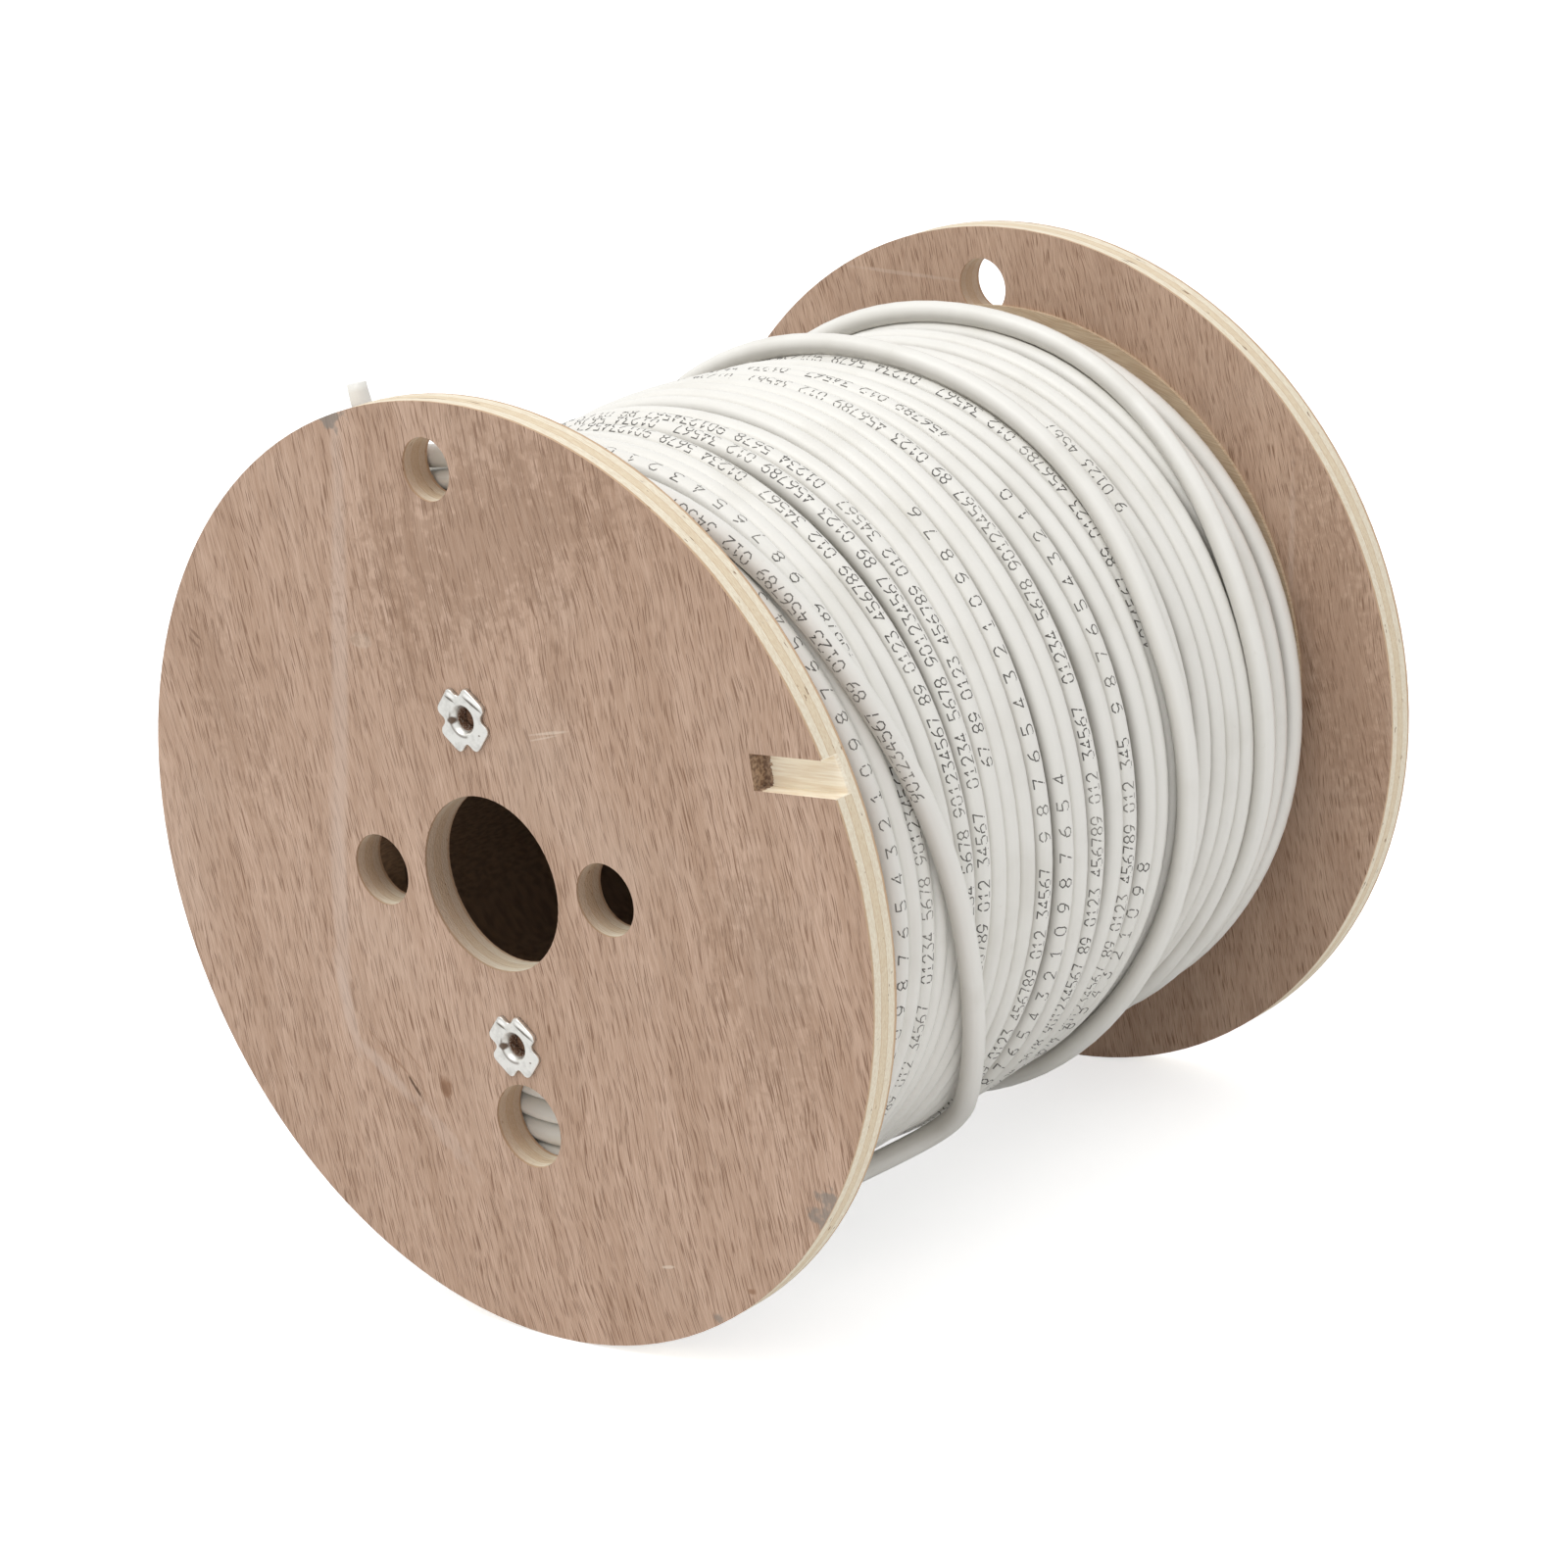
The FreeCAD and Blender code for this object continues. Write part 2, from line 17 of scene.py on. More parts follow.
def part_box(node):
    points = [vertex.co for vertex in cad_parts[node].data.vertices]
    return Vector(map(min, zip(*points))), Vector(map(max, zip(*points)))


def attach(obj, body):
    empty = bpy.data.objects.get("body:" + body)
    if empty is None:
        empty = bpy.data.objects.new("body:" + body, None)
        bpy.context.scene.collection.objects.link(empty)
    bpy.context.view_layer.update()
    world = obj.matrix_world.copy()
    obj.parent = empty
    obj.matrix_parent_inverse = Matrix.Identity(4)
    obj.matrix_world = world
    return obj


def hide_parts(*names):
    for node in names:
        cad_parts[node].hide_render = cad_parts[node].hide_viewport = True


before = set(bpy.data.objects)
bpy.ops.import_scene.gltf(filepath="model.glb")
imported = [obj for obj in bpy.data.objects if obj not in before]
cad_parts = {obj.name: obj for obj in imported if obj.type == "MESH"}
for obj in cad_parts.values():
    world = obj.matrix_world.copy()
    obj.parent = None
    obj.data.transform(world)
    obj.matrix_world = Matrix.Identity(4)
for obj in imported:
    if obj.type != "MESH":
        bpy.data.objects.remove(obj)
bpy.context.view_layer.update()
scene = bpy.context.scene
MM = 0.001
print("nodes:", ", ".join(sorted(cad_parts)))

# %% [markdown]
# ## Where things are
#
# Every measure that the winding needs is read from the CAD nodes' boxes, so the cable lands
# between the flanges whatever their size. `Y` runs along the spindle, from the flange with the
# tee nuts to the one with the bolt heads.

# %% Measures from the frame
near_low, near_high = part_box("near_flange")
far_low, far_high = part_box("far_flange")
NEAR_FACE = near_low[1]
NEAR_INSIDE = near_high[1]
FAR_INSIDE = far_low[1]
RIM_RADIUS = near_high[0]
FLOOR = near_low[2]
CORE_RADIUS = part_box("core_tube")[1][0]
CABLE = 6.5 * MM
print("clear width %.1f mm, core %.1f mm across" % ((FAR_INSIDE - NEAR_INSIDE) / MM, 2 * CORE_RADIUS / MM))

# %% [markdown]
# ## The camera
#
# A long lens from the front right and a little above. Its place was solved from the ellipses of
# the rims and holes. The reel in the picture has rolled round by some ten degrees, so the
# camera leans instead, which keeps the reel's own axes upright.

# %% Camera
camera_data = bpy.data.cameras.new("camera")
camera = bpy.data.objects.new("camera", camera_data)
scene.collection.objects.link(camera)
FOCAL_PIXELS, PICTURE_WIDTH, SENSOR_WIDTH = 4239.6, 1600, 36
right = Vector((0.750719, 0.647629, -0.130374))
down = Vector((0.081236, -0.286353, -0.954674))
forward = Vector((-0.655608, 0.706101, -0.267581))
turn = Matrix((right, -down, -forward)).transposed()
camera.matrix_world = Matrix.Translation((0.7930, -0.8572, 0.3159)) @ turn.to_4x4()
camera_data.sensor_width = SENSOR_WIDTH
camera_data.lens = FOCAL_PIXELS / PICTURE_WIDTH * SENSOR_WIDTH
camera_data.clip_start = 0.05
camera_data.clip_end = 20
scene.camera = camera
print("lens %.1f mm" % camera_data.lens)

# %% [markdown]
# ## The winding: what it is
#
# The cable goes round the core in full layers, each laid over the valleys of the one below, and
# the outermost layer was wound by a hand that didn't keep it even. Turns wander, ride up on
# each other and leave gaps. The last turn lies loose across the others and its cut end is bent
# up behind the rim. It could be modelled as many rings, but a cable is one piece, so it is one
# line here: up the side of the winding from the core, along the layer below, and back in the
# outer layer. That line has a control point every 15 degrees.

# %% Round the spindle in steps
STOPS = 24
STEP = 360 / STOPS
FIRST_ANGLE = -265
local_angles = FIRST_ANGLE + STEP * np.arange(1, STOPS + 1)


def from_near(millimetres):
    """Place along the spindle, from millimetres behind the near flange's outer face."""
    return NEAR_FACE / MM + np.asarray(millimetres, float)


def ease(share):
    share = np.clip(share, 0, 1)
    return share * share * (3 - 2 * share)


# %% [markdown]
# The outside of the winding isn't a true cylinder. It is fullest beside the near flange, full
# again a little before the middle, and falls away towards the far flange. The layer below
# follows the same line.

# %% How full the winding is
FULLNESS = [
    (9, 111.4),
    (20, 112.6),
    (32, 115.0),
    (36, 115.0),
    (49, 112.8),
    (61.5, 110.8),
    (74, 111.6),
    (94, 112.0),
    (108, 113.2),
    (120, 113.2),
    (147, 112.0),
    (175, 109.3),
    (188, 108.4),
    (203, 109.7),
    (222, 110.0),
    (238, 103.0),
]
FULL_PLACES = [place for place, _ in FULLNESS]
FULL_RADII = [radius for _, radius in FULLNESS]
DIAMETER = CABLE / MM
FIRST_PLACE = 12.75
LAST_PLACE = 233.9
HOLLOW = 1.6


def layer_below(place):
    return np.interp(place, FULL_PLACES, FULL_RADII) - DIAMETER / 2 - 6.0


# %% [markdown]
# ## The side of the winding and the layer below
#
# Through the round hole under the lower tee nut the side of the winding shows, so the line
# starts as a flat spiral on the flange's inside. Then it runs along as a close, even layer: it
# is seen only in the gaps of the next one. Real layers are uneven, so the next one rests on
# high places only and its gaps are deep. This layer is even, so it lies lower by that hollow.

# %% Side spiral and layer below
SIDE_TURNS = 6
SIDE_STEP = 6.6
LAYER_TURNS = 34
start_radius = CORE_RADIUS / MM + DIAMETER / 2 + 0.15
places, radii = [], []
for k in range(SIDE_TURNS):
    climb = k + np.arange(1, STOPS + 1) / STOPS
    places.append(np.full(STOPS, FIRST_PLACE))
    radii.append(start_radius + SIDE_STEP * climb)
pitch = (LAST_PLACE - FIRST_PLACE) / LAYER_TURNS
for k in range(LAYER_TURNS + 1):
    shift = ease((local_angles - FIRST_ANGLE) / 210)
    place = FIRST_PLACE + pitch * np.clip(k - 1 + shift, 0, LAYER_TURNS)
    radius = layer_below(place) - HOLLOW
    if k == 0:
        side = radii[-1][-1]
        radius = side + (radius - side) * ease(np.arange(1, STOPS + 1) / STOPS)
    places.append(place)
    radii.append(radius)
print("layer below: %d turns, %.2f mm apart" % (LAYER_TURNS, pitch))

# %% [markdown]
# ## The outer layer
#
# Each row is one turn, from the far flange to the near one. What the photograph shows best of a
# turn is its far edge, so the rows say where that edge is seen on a smooth surface laid through
# the winding: millimetres from the near flange's outer face, at seven angles round the spindle.
# Rows that change order from left to right are turns that cross.
#
# About half of these values weren't read by eye. A search for dark lines in the picture's
# brightness found them, and only their order was decided. A script is better without such
# a table: rows that are read by hand, or a loop that lays the turns, should take its place.

# %% Far edges of the turns
EDGE_ANGLES = [-40, -20, 0, 20, 40, 60, 80]
SEEN_EDGES = [
    (237, 236, 235, 236.5, 236.2, 238.8, 238),
    (230, 229, 226, 228, 228, 230, 230),
    (222, 221, 219, 219, 213.8, 220.4, 225),
    (213.6, 215.8, 212, 213, 219.8, 232, 233),
    (204, 206.6, 205.6, 205, 206.1, 208.5, 209.4),
    (198, 199, 199.5, 199, 200, 200, 200),
    (193, 192.9, 195.9, 195.6, 195.9, 192.8, 190.6),
    (186, 187, 189, 189, 186.4, 187, 185),
    (178, 178.9, 176.5, 178.5, 180.5, 181.5, 179.1),
    (166, 169, 168.1, 166, 166.5, 165.1, 162.5),
    (172, 172.8, 170.5, 167.8, 173.2, 174.4, 172.1),
    (157.5, 160.1, 159.9, 159.9, 160.2, 157.5, 153),
    (151, 153, 154, 152.6, 151.6, 149.5, 144.2),
    (145.1, 143.6, 142.6, 143.8, 142.8, 142, 139.5),
    (139.2, 136.1, 136.1, 136.6, 134.6, 134.4, 134.1),
    (131, 127.2, 126.1, 126, 127.2, 126.5, 126.5),
    (124.9, 119, 116.8, 118.9, 117.4, 120, 121.5),
    (115, 113, 112.4, 112.6, 112.8, 114.5, 115.1),
    (104, 103, 103, 103.6, 104.2, 106.5, 108),
    (90, 89.4, 90, 91, 93.4, 93.9, 90.5),
    (98, 95.5, 94.4, 96.2, 99.4, 102, 102.9),
    (83, 82.8, 85.5, 88.1, 89, 88, 85),
    (77.5, 77, 78.6, 79.2, 80.4, 80.2, 80.8),
    (72.1, 71.5, 71, 71.3, 70.6, 69.5, 72.5),
    (67, 66, 63.9, 64.5, 62.9, 63.2, 65),
    (62, 61.1, 58.8, 57.2, 58.5, 60.4, 58),
    (57, 56.2, 53.5, 51.5, 53.5, 55.4, 52),
    (52, 49.9, 48.5, 46, 43.7, 44, 44),
    (48, 46, 43.8, 41, 38, 38.5, 38),
]
READING_SURFACE = [
    (9, 108.5),
    (40, 109.5),
    (74, 110.5),
    (94, 111.5),
    (108, 112.5),
    (120, 112.5),
    (147, 111.0),
    (175, 109.0),
    (203, 107.5),
    (222, 105.5),
    (239, 102.5),
]
TURN_ANGLES = [-46, -22, -1, 20, 41, 62, 84]
FLANGE_PLACE = 13.2
eye = np.array(camera.matrix_world.translation) / MM - (0, NEAR_FACE / MM, 0)


def middles_of(edges, turn_radii):
    """Angles and places of the turns' middles, along the sight lines past their far edges."""
    turned = np.radians(EDGE_ANGLES)
    surface = np.interp(edges, *zip(*READING_SURFACE))
    sights = np.stack([surface * np.cos(turned), edges, surface * np.sin(turned)]) - eye[:, None, None]
    sights /= np.linalg.norm(sights, axis=0)
    a = sights[0] ** 2 + sights[2] ** 2
    b = eye[0] * sights[0] + eye[2] * sights[2]
    root = b**2 - a * (eye[0] ** 2 + eye[2] ** 2 - turn_radii**2)
    reach = (-b - np.sqrt(np.maximum(root, 0))) / a
    met = eye[:, None, None] + sights * reach
    angles = np.arctan2(met[2], met[0])
    inward = np.abs(sights[0] * np.cos(angles) + sights[2] * np.sin(angles))
    behind_edge = DIAMETER / 2 * np.hypot(sights[1], inward) / np.maximum(inward, 0.1)
    beyond_skyline = root < 0
    places = np.where(beyond_skyline, edges - 3, met[1] - behind_edge)
    return np.where(beyond_skyline, EDGE_ANGLES, np.degrees(angles)), places


def outer_places(turn_radii):
    """Places of the outer turns' points, if the turns that are seen lie at these radii."""
    angles, middles = middles_of(np.array(SEEN_EDGES, float), turn_radii)
    rows = [np.interp(TURN_ANGLES, *pair) for pair in zip(angles, middles)]
    # two more turns lie hidden between the last one seen and the near flange
    rows += [(rows[-1] + FLANGE_PLACE) / 2, np.full(len(TURN_ANGLES), FLANGE_PLACE)]
    previous, turns_placed = LAST_PLACE, []
    for row in rows:
        shift = ease((local_angles - FIRST_ANGLE) / (TURN_ANGLES[0] - FIRST_ANGLE))
        hidden = previous + (row[0] - previous) * shift
        seen = np.interp(local_angles, TURN_ANGLES, row)
        turns_placed.append(np.where(local_angles < TURN_ANGLES[0], hidden, seen))
        previous = turns_placed[-1][-1]
    return np.array(turns_placed)


# %% [markdown]
# ## Letting the turns settle
#
# That says where a turn should lie along the spindle, not how high. So the turns are let down
# onto the layer below like real cable: each one is pulled inwards, pushed away from any
# neighbour nearer than one diameter, held near its place, and kept from bending sharply. A later
# turn starts higher than an earlier one that it crosses, so it comes to rest on top. The height
# at which a turn comes to rest shifts the place where its edge is seen, so the sight lines and
# the settling take turns until they agree.

# %% Settle the turns
below_places = np.array(places)
below_radii = np.array(radii)
FIRST_OUTER = len(below_places)
ROUNDS = 220
KEEP = 0.1
PULL = 0.12
LEVEL = 6.0
CROSSING = 4


def settle(outer):
    """Let the outer turns down onto the layer below; returns every turn's places and radii."""
    places = np.concatenate([below_places, outer])
    radii = np.concatenate([below_radii, layer_below(outer) + LEVEL])
    is_outer = np.arange(len(places)) >= FIRST_OUTER
    for k in range(FIRST_OUTER, len(places)):
        for below in range(FIRST_OUTER, k):
            apart = np.abs(places[k] - places[below])
            lifted = np.maximum(radii[k], radii[below] + (CROSSING - apart) * 1.2)
            radii[k] = np.where(apart < CROSSING, lifted, radii[k])
    movable = slice(FIRST_OUTER, None)
    own = np.arange(FIRST_OUTER, len(places))
    clearance = np.where(is_outer, DIAMETER, DIAMETER + HOLLOW)[None, :, None]
    give = np.where(is_outer, 0.5, 1.0)[None, :, None]
    for count in range(ROUNDS):
        aside = places[movable, None, :] - places[None, :, :]
        above = radii[movable, None, :] - radii[None, :, :]
        distance = np.sqrt(aside**2 + above**2) + 1e-6
        push = np.clip(clearance - distance, 0, None)
        push[own - FIRST_OUTER, own, :] = 0
        push *= give / distance
        places[movable] += (push * aside).sum(1) * 0.6
        radii[movable] += (push * above).sum(1) * 0.6
        places[movable] += KEEP * (outer - places[movable])
        radii[movable] -= PULL * (1 - count / ROUNDS)
        for values, stiffness in ((places, 0.02), (radii, 0.3)):
            line = values.reshape(-1)
            middle = line.copy()
            middle[1:-1] = (line[:-2] + line[2:]) / 2
            middle = middle.reshape(values.shape)
            values[movable] += stiffness * (middle[movable] - values[movable])
        places[movable] = np.clip(places[movable], FIRST_PLACE, 233)
    return places, radii


SEEN = len(SEEN_EDGES)
ATTEMPTS = 5
turn_radii = layer_below(np.array(SEEN_EDGES)) + LEVEL
for attempt in range(ATTEMPTS):
    wanted = outer_places(turn_radii)
    places, radii = settle(wanted)
    seen_radii = radii[FIRST_OUTER : FIRST_OUTER + SEEN]
    resting = [np.interp(TURN_ANGLES, local_angles, row) for row in seen_radii]
    turn_radii = (turn_radii + np.array(resting)) / 2
    off = np.abs(places[FIRST_OUTER:] - wanted)
    print("attempt %d: turns rest %.1f mm from where they are seen" % (attempt + 1, off.mean()))
outer_turns = len(places) - FIRST_OUTER
print("%d outer turns, up to %.1f mm from the axis" % (outer_turns, radii.max() + DIAMETER / 2))

# %% [markdown]
# ## The loose last turn and the cut end
#
# The last turn leaves its place beside the near flange, crosses the others on the side away
# from the light, hooks back at about two o'clock below the middle and slants up across the
# winding until it lies behind the rim again. Its points are listed: angle, place, and
# height over the outer layer. The cut end then turns up behind the rim.

# %% Loose turn
LOOSE_TURN = [
    (-248, 12.9, 0.2),
    (-232, 12.9, 0.6),
    (-216, 12.9, 1.6),
    (-200, 12.9, 3.2),
    (-184, 12.9, 5.0),
    (-168, 12.9, 6.2),
    (-152, 12.9, 6.6),
    (-136, 13.0, 6.6),
    (-120, 13.6, 6.6),
    (-106, 16.0, 6.6),
    (-95, 21.0, 6.6),
    (-86, 30.0, 6.7),
    (-79, 43.0, 6.9),
    (-73, 58.0, 7.0),
    (-68, 74.0, 7.1),
    (-63, 89.0, 7.2),
    (-58, 98.5, 7.3),
    (-51, 96.0, 7.3),
    (-43, 86.5, 7.2),
    (-34, 77.5, 7.1),
    (-25, 70.0, 7.0),
    (-16, 63.5, 7.0),
    (-7, 58.0, 7.0),
    (2, 52.5, 7.0),
    (11, 47.0, 7.0),
    (20, 41.5, 6.9),
    (30, 37.0, 6.8),
    (42, 34.5, 6.7),
    (55, 31.0, 6.7),
    (66, 25.5, 6.6),
    (76, 19.0, 6.6),
    (87, 14.5, 6.6),
]
CUT_END = [
    (-3.0, 13.3, 115.8),
    (-12.5, 13.3, 115.1),
    (-22.5, 13.3, 115.3),
    (-30.0, 13.3, 118.6),
    (-34.0, 13.3, 125.0),
    (-35.6, 13.3, 130.0),
    (-36.0, 13.3, 134.6),
]


def surface_at(angle, place):
    """Height of the outer layer's centres at an angle, near a place along the spindle."""
    turns = (angle - local_angles[0]) / STEP % STOPS
    low, share = int(turns), turns - int(turns)
    heights = []
    for k in range(FIRST_OUTER, len(places)):
        a, b = low % STOPS, (low + 1) % STOPS
        there = places[k][a] * (1 - share) + places[k][b] * share
        high = radii[k][a] * (1 - share) + radii[k][b] * share
        if abs(there - place) < DIAMETER:
            heights.append(high + math.sqrt(DIAMETER**2 - (there - place) ** 2) - DIAMETER)
    return max(heights, default=layer_below(place) + 6)


loose_heights = [surface_at(angle, place) + lift for angle, place, lift in LOOSE_TURN]
for _ in range(2):
    middle = loose_heights[:]
    for k in range(1, len(middle) - 1):
        mean = (loose_heights[k - 1] + 2 * loose_heights[k] + loose_heights[k + 1]) / 4
        middle[k] = max(mean, loose_heights[k] - 0.4)
    loose_heights = middle
print("loose turn lies %.1f to %.1f mm from the axis" % (min(loose_heights), max(loose_heights)))

# %% [markdown]
# ## One line for the whole cable
#
# All the points go into one NURBS spline. It is quadratic, so it stays close to its points and
# bends smoothly between them. It runs a little inside them, so the radii are divided by the
# share that it loses on a circle.

# %% The cable's line
PULLED_IN = math.cos(math.radians(STEP / 2))


def row_point(angle, place, radius, spread=1.0):
    turn = math.radians(angle)
    return Vector((radius * spread * math.cos(turn), from_near(place), radius * spread * math.sin(turn))) * MM


route = []
for row_places, row_radii in zip(places, radii):
    for angle, place, radius in zip(local_angles, row_places, row_radii):
        route.append(row_point(angle, place, radius, 1 / PULLED_IN))
for (angle, place, _), radius in zip(LOOSE_TURN, loose_heights):
    route.append(row_point(angle, place, radius, 1.004))
for x, place, z in CUT_END:
    route.append(Vector((x, from_near(place), z)) * MM)
print("route: %d points" % len(route))

# %% Spline and its points
cable_curve = bpy.data.curves.new("cable_line", "CURVE")
cable_curve.dimensions = "3D"
cable_curve.resolution_u = 4
spline = cable_curve.splines.new("NURBS")
spline.points.add(len(route) - 1)
for point, place in zip(spline.points, route):
    point.co = (*place, 1)
spline.order_u = 3
spline.use_endpoint_u = True
line_object = bpy.data.objects.new("cable_line", cable_curve)
line_mesh = bpy.data.meshes.new_from_object(line_object)
line = np.array([vertex.co[:] for vertex in line_mesh.vertices])
bpy.data.objects.remove(line_object)
steps = np.linalg.norm(np.diff(line, axis=0), axis=1)
travelled = np.concatenate([[0], np.cumsum(steps)])
cable_length = float(travelled[-1])
print("cable in the two layers: %.2f m, %d points" % (cable_length, len(line)))

# %% [markdown]
# ## A tube along the line
#
# At each point the tube needs to know which way is out. On the winding that is away from the
# spindle. At the cut end, which itself points outwards, the last good direction is carried
# along instead.

# %% Directions along the cable
ways = np.gradient(line, axis=0)
ways /= np.linalg.norm(ways, axis=1)[:, None]
outs = np.empty_like(line)
carried = np.array([line[0][0], 0, line[0][2]])
for k, (here, way) in enumerate(zip(line, ways)):
    radial = np.array([here[0], 0, here[2]])
    radial /= np.linalg.norm(radial)
    radial -= way * radial.dot(way)
    carried = carried - way * carried.dot(way)
    carried /= np.linalg.norm(carried)
    carried = carried + 0.25 * radial
    carried -= way * carried.dot(way)
    carried /= np.linalg.norm(carried)
    outs[k] = carried
asides = np.cross(outs, ways)


def on_cable(index, spin, height):
    """Point at an angle round the cable and a height off its centreline."""
    turn = math.radians(spin)
    return line[index] + (outs[index] * math.cos(turn) + asides[index] * math.sin(turn)) * height


# %% Cable tube
SIDES = 12
turns = np.radians(np.arange(SIDES) * 360 / SIDES)
ring = outs[:, None, :] * np.cos(turns)[None, :, None] + asides[:, None, :] * np.sin(turns)[None, :, None]
# the jacket shrank back a little from the cut
SHRUNK_LENGTH, SHRUNK_SHARE = 14 * MM, 0.84
thickness = np.interp(cable_length - travelled, [0, SHRUNK_LENGTH], [SHRUNK_SHARE, 1.0]) * CABLE / 2
tube = (line[:, None, :] + ring * thickness[:, None, None]).reshape(-1, 3)
faces = []
for k in range(len(line) - 1):
    for side in range(SIDES):
        a, b = k * SIDES + side, k * SIDES + (side + 1) % SIDES
        faces.append((a, a + SIDES, b + SIDES, b))
faces.append(tuple(range(SIDES)))
faces.append(tuple(reversed(range(len(tube) - SIDES, len(tube)))))
cable_mesh = bpy.data.meshes.new("wound_cable")
cable_mesh.from_pydata([tuple(p) for p in tube], [], faces)
cable_mesh.polygons.foreach_set("use_smooth", [True] * (len(faces) - 2) + [False, False])
wound_cable = bpy.data.objects.new("wound_cable", cable_mesh)
scene.collection.objects.link(wound_cable)
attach(wound_cable, "root")
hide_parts("cable_inner_layers", "cable_outer_layer")
print("tube: %d faces" % len(faces))

# %% [markdown]
# ## Figures on the cable
#
# The jacket is printed with small dark figures all along. They could be painted by a texture,
# but a texture would need a map of the whole cable. Strokes cut from thin strips and laid on the
# jacket are simpler, and they stay sharp. Here they are plain figures in order, as length marks
# are. Each figure is drawn in a box one unit wide and one high.

# %% Shapes of the figures
FIGURES = [
    [[(0.25, 0), (0.75, 0), (1, 0.25), (1, 0.75), (0.75, 1), (0.25, 1), (0, 0.75), (0, 0.25), (0.25, 0)]],
    [[(0.15, 0.78), (0.55, 1), (0.55, 0)], [(0.2, 0), (0.9, 0)]],
    [[(0, 0.8), (0.25, 1), (0.75, 1), (1, 0.8), (1, 0.6), (0, 0), (1, 0)]],
    [[(0, 1), (1, 1), (0.5, 0.6), (0.8, 0.55), (1, 0.35), (1, 0.2), (0.75, 0), (0.2, 0), (0, 0.15)]],
    [[(0.75, 0), (0.75, 1), (0, 0.3), (1, 0.3)]],
    [[(0.95, 1), (0.1, 1), (0.05, 0.58), (0.7, 0.6), (1, 0.4), (1, 0.2), (0.75, 0), (0.2, 0), (0, 0.15)]],
    [
        [(0.9, 1), (0.4, 0.85), (0, 0.45), (0, 0.2), (0.25, 0)]
        + [(0.75, 0), (1, 0.2), (1, 0.4), (0.7, 0.57), (0.1, 0.5)]
    ],
    [[(0, 1), (1, 1), (0.4, 0)]],
    [
        [(0.3, 0.53), (0, 0.75), (0.25, 1), (0.75, 1), (1, 0.75), (0.7, 0.53), (0.3, 0.53)],
        [(0.3, 0.53), (0, 0.28), (0.25, 0), (0.75, 0), (1, 0.28), (0.7, 0.53)],
    ],
    [
        [(0.1, 0), (0.6, 0.15), (1, 0.55), (1, 0.8), (0.75, 1)]
        + [(0.25, 1), (0, 0.8), (0, 0.6), (0.3, 0.43), (0.95, 0.5)]
    ],
]
FIGURE_HEIGHT = 3.5 * MM
STROKE = 0.36 * MM
LONGEST_STROKE = 0.9 * MM
INK = 0.04 * MM

# %% [markdown]
# The prints sit where they can be read: each row names a turn of the outer layer, counted from
# the near flange, the angles where its print can be followed, how far round the cable the print
# lies, and the figure's width and step. The rest of the print is on the underside of the turns.

# %% Where the figures run
WIDE, TIGHT = (2.5, 7.3), (2.1, 3.05)
GROUPS = "01234 5678 901234567 89 0123 456789 012 34567  "
PRINTED = [
    (3, -60, 42, 12, WIDE),
    (5, 38, 100, 12, WIDE),
    (5, -75, 36, 22, TIGHT),
    (8, -20, 96, 20, TIGHT),
    (9, -30, 110, 24, TIGHT),
    (10, 4, 112, 16, TIGHT),
    (13, -10, 47, 22, WIDE),
    (13, -95, -12, 26, TIGHT),
    (14, -60, 2, 30, WIDE),
    (16, -75, 96, 26, TIGHT),
    (18, 2, 42, 18, WIDE),
    (18, -80, 0, 26, TIGHT),
    (18, 48, 100, 4, TIGHT),
    (19, -66, -18, 34, WIDE),
    (22, 8, 106, 22, TIGHT),
    (24, 28, 47, 30, TIGHT),
    (7, -245, -130, 0, TIGHT),
    (12, -230, -150, 10, TIGHT),
    (20, -245, -120, -10, TIGHT),
    (24, -240, -165, 5, WIDE),
]
LOOSE_PRINT = (8, 92, 62, TIGHT)


def travelled_to(row, angle):
    """Length along the cable from its start to an angle of a row."""
    stop = row * STOPS + (angle - local_angles[0]) / STEP
    share = (stop + 0.5) * cable_curve.resolution_u
    return float(np.interp(share, np.arange(len(travelled)), travelled))


def strokes_of(figure):
    """Short straight strokes of a figure in millimetres: start and end, along and across."""
    width, height = figure_width * MM, FIGURE_HEIGHT
    for points in FIGURES[figure]:
        for (x0, y0), (x1, y1) in zip(points, points[1:]):
            start = np.array((x0 * width, (y0 - 0.5) * height))
            end = np.array((x1 * width, (y1 - 0.5) * height))
            parts = max(1, math.ceil(np.linalg.norm(end - start) / LONGEST_STROKE))
            for part in range(parts):
                yield start + (end - start) * part / parts, start + (end - start) * (part + 1) / parts


def on_jacket(along, across, spin):
    """Points on the tube's flat sides, from lengths along it and round it."""
    spot = np.interp(along, travelled, np.arange(len(travelled)))
    low = np.clip(spot.astype(int), 0, len(line) - 2)
    share = (spot - low)[:, None]
    turn = np.radians(spin) + across / (CABLE / 2)
    flat = math.pi / SIDES
    height = CABLE / 2 * math.cos(flat) / np.cos(turn % (2 * flat) - flat) + INK
    points = []
    for index in (low, low + 1):
        direction = outs[index] * np.cos(turn)[:, None] + asides[index] * np.sin(turn)[:, None]
        points.append(line[index] + direction * height[:, None])
    return points[0] * (1 - share) + points[1] * share


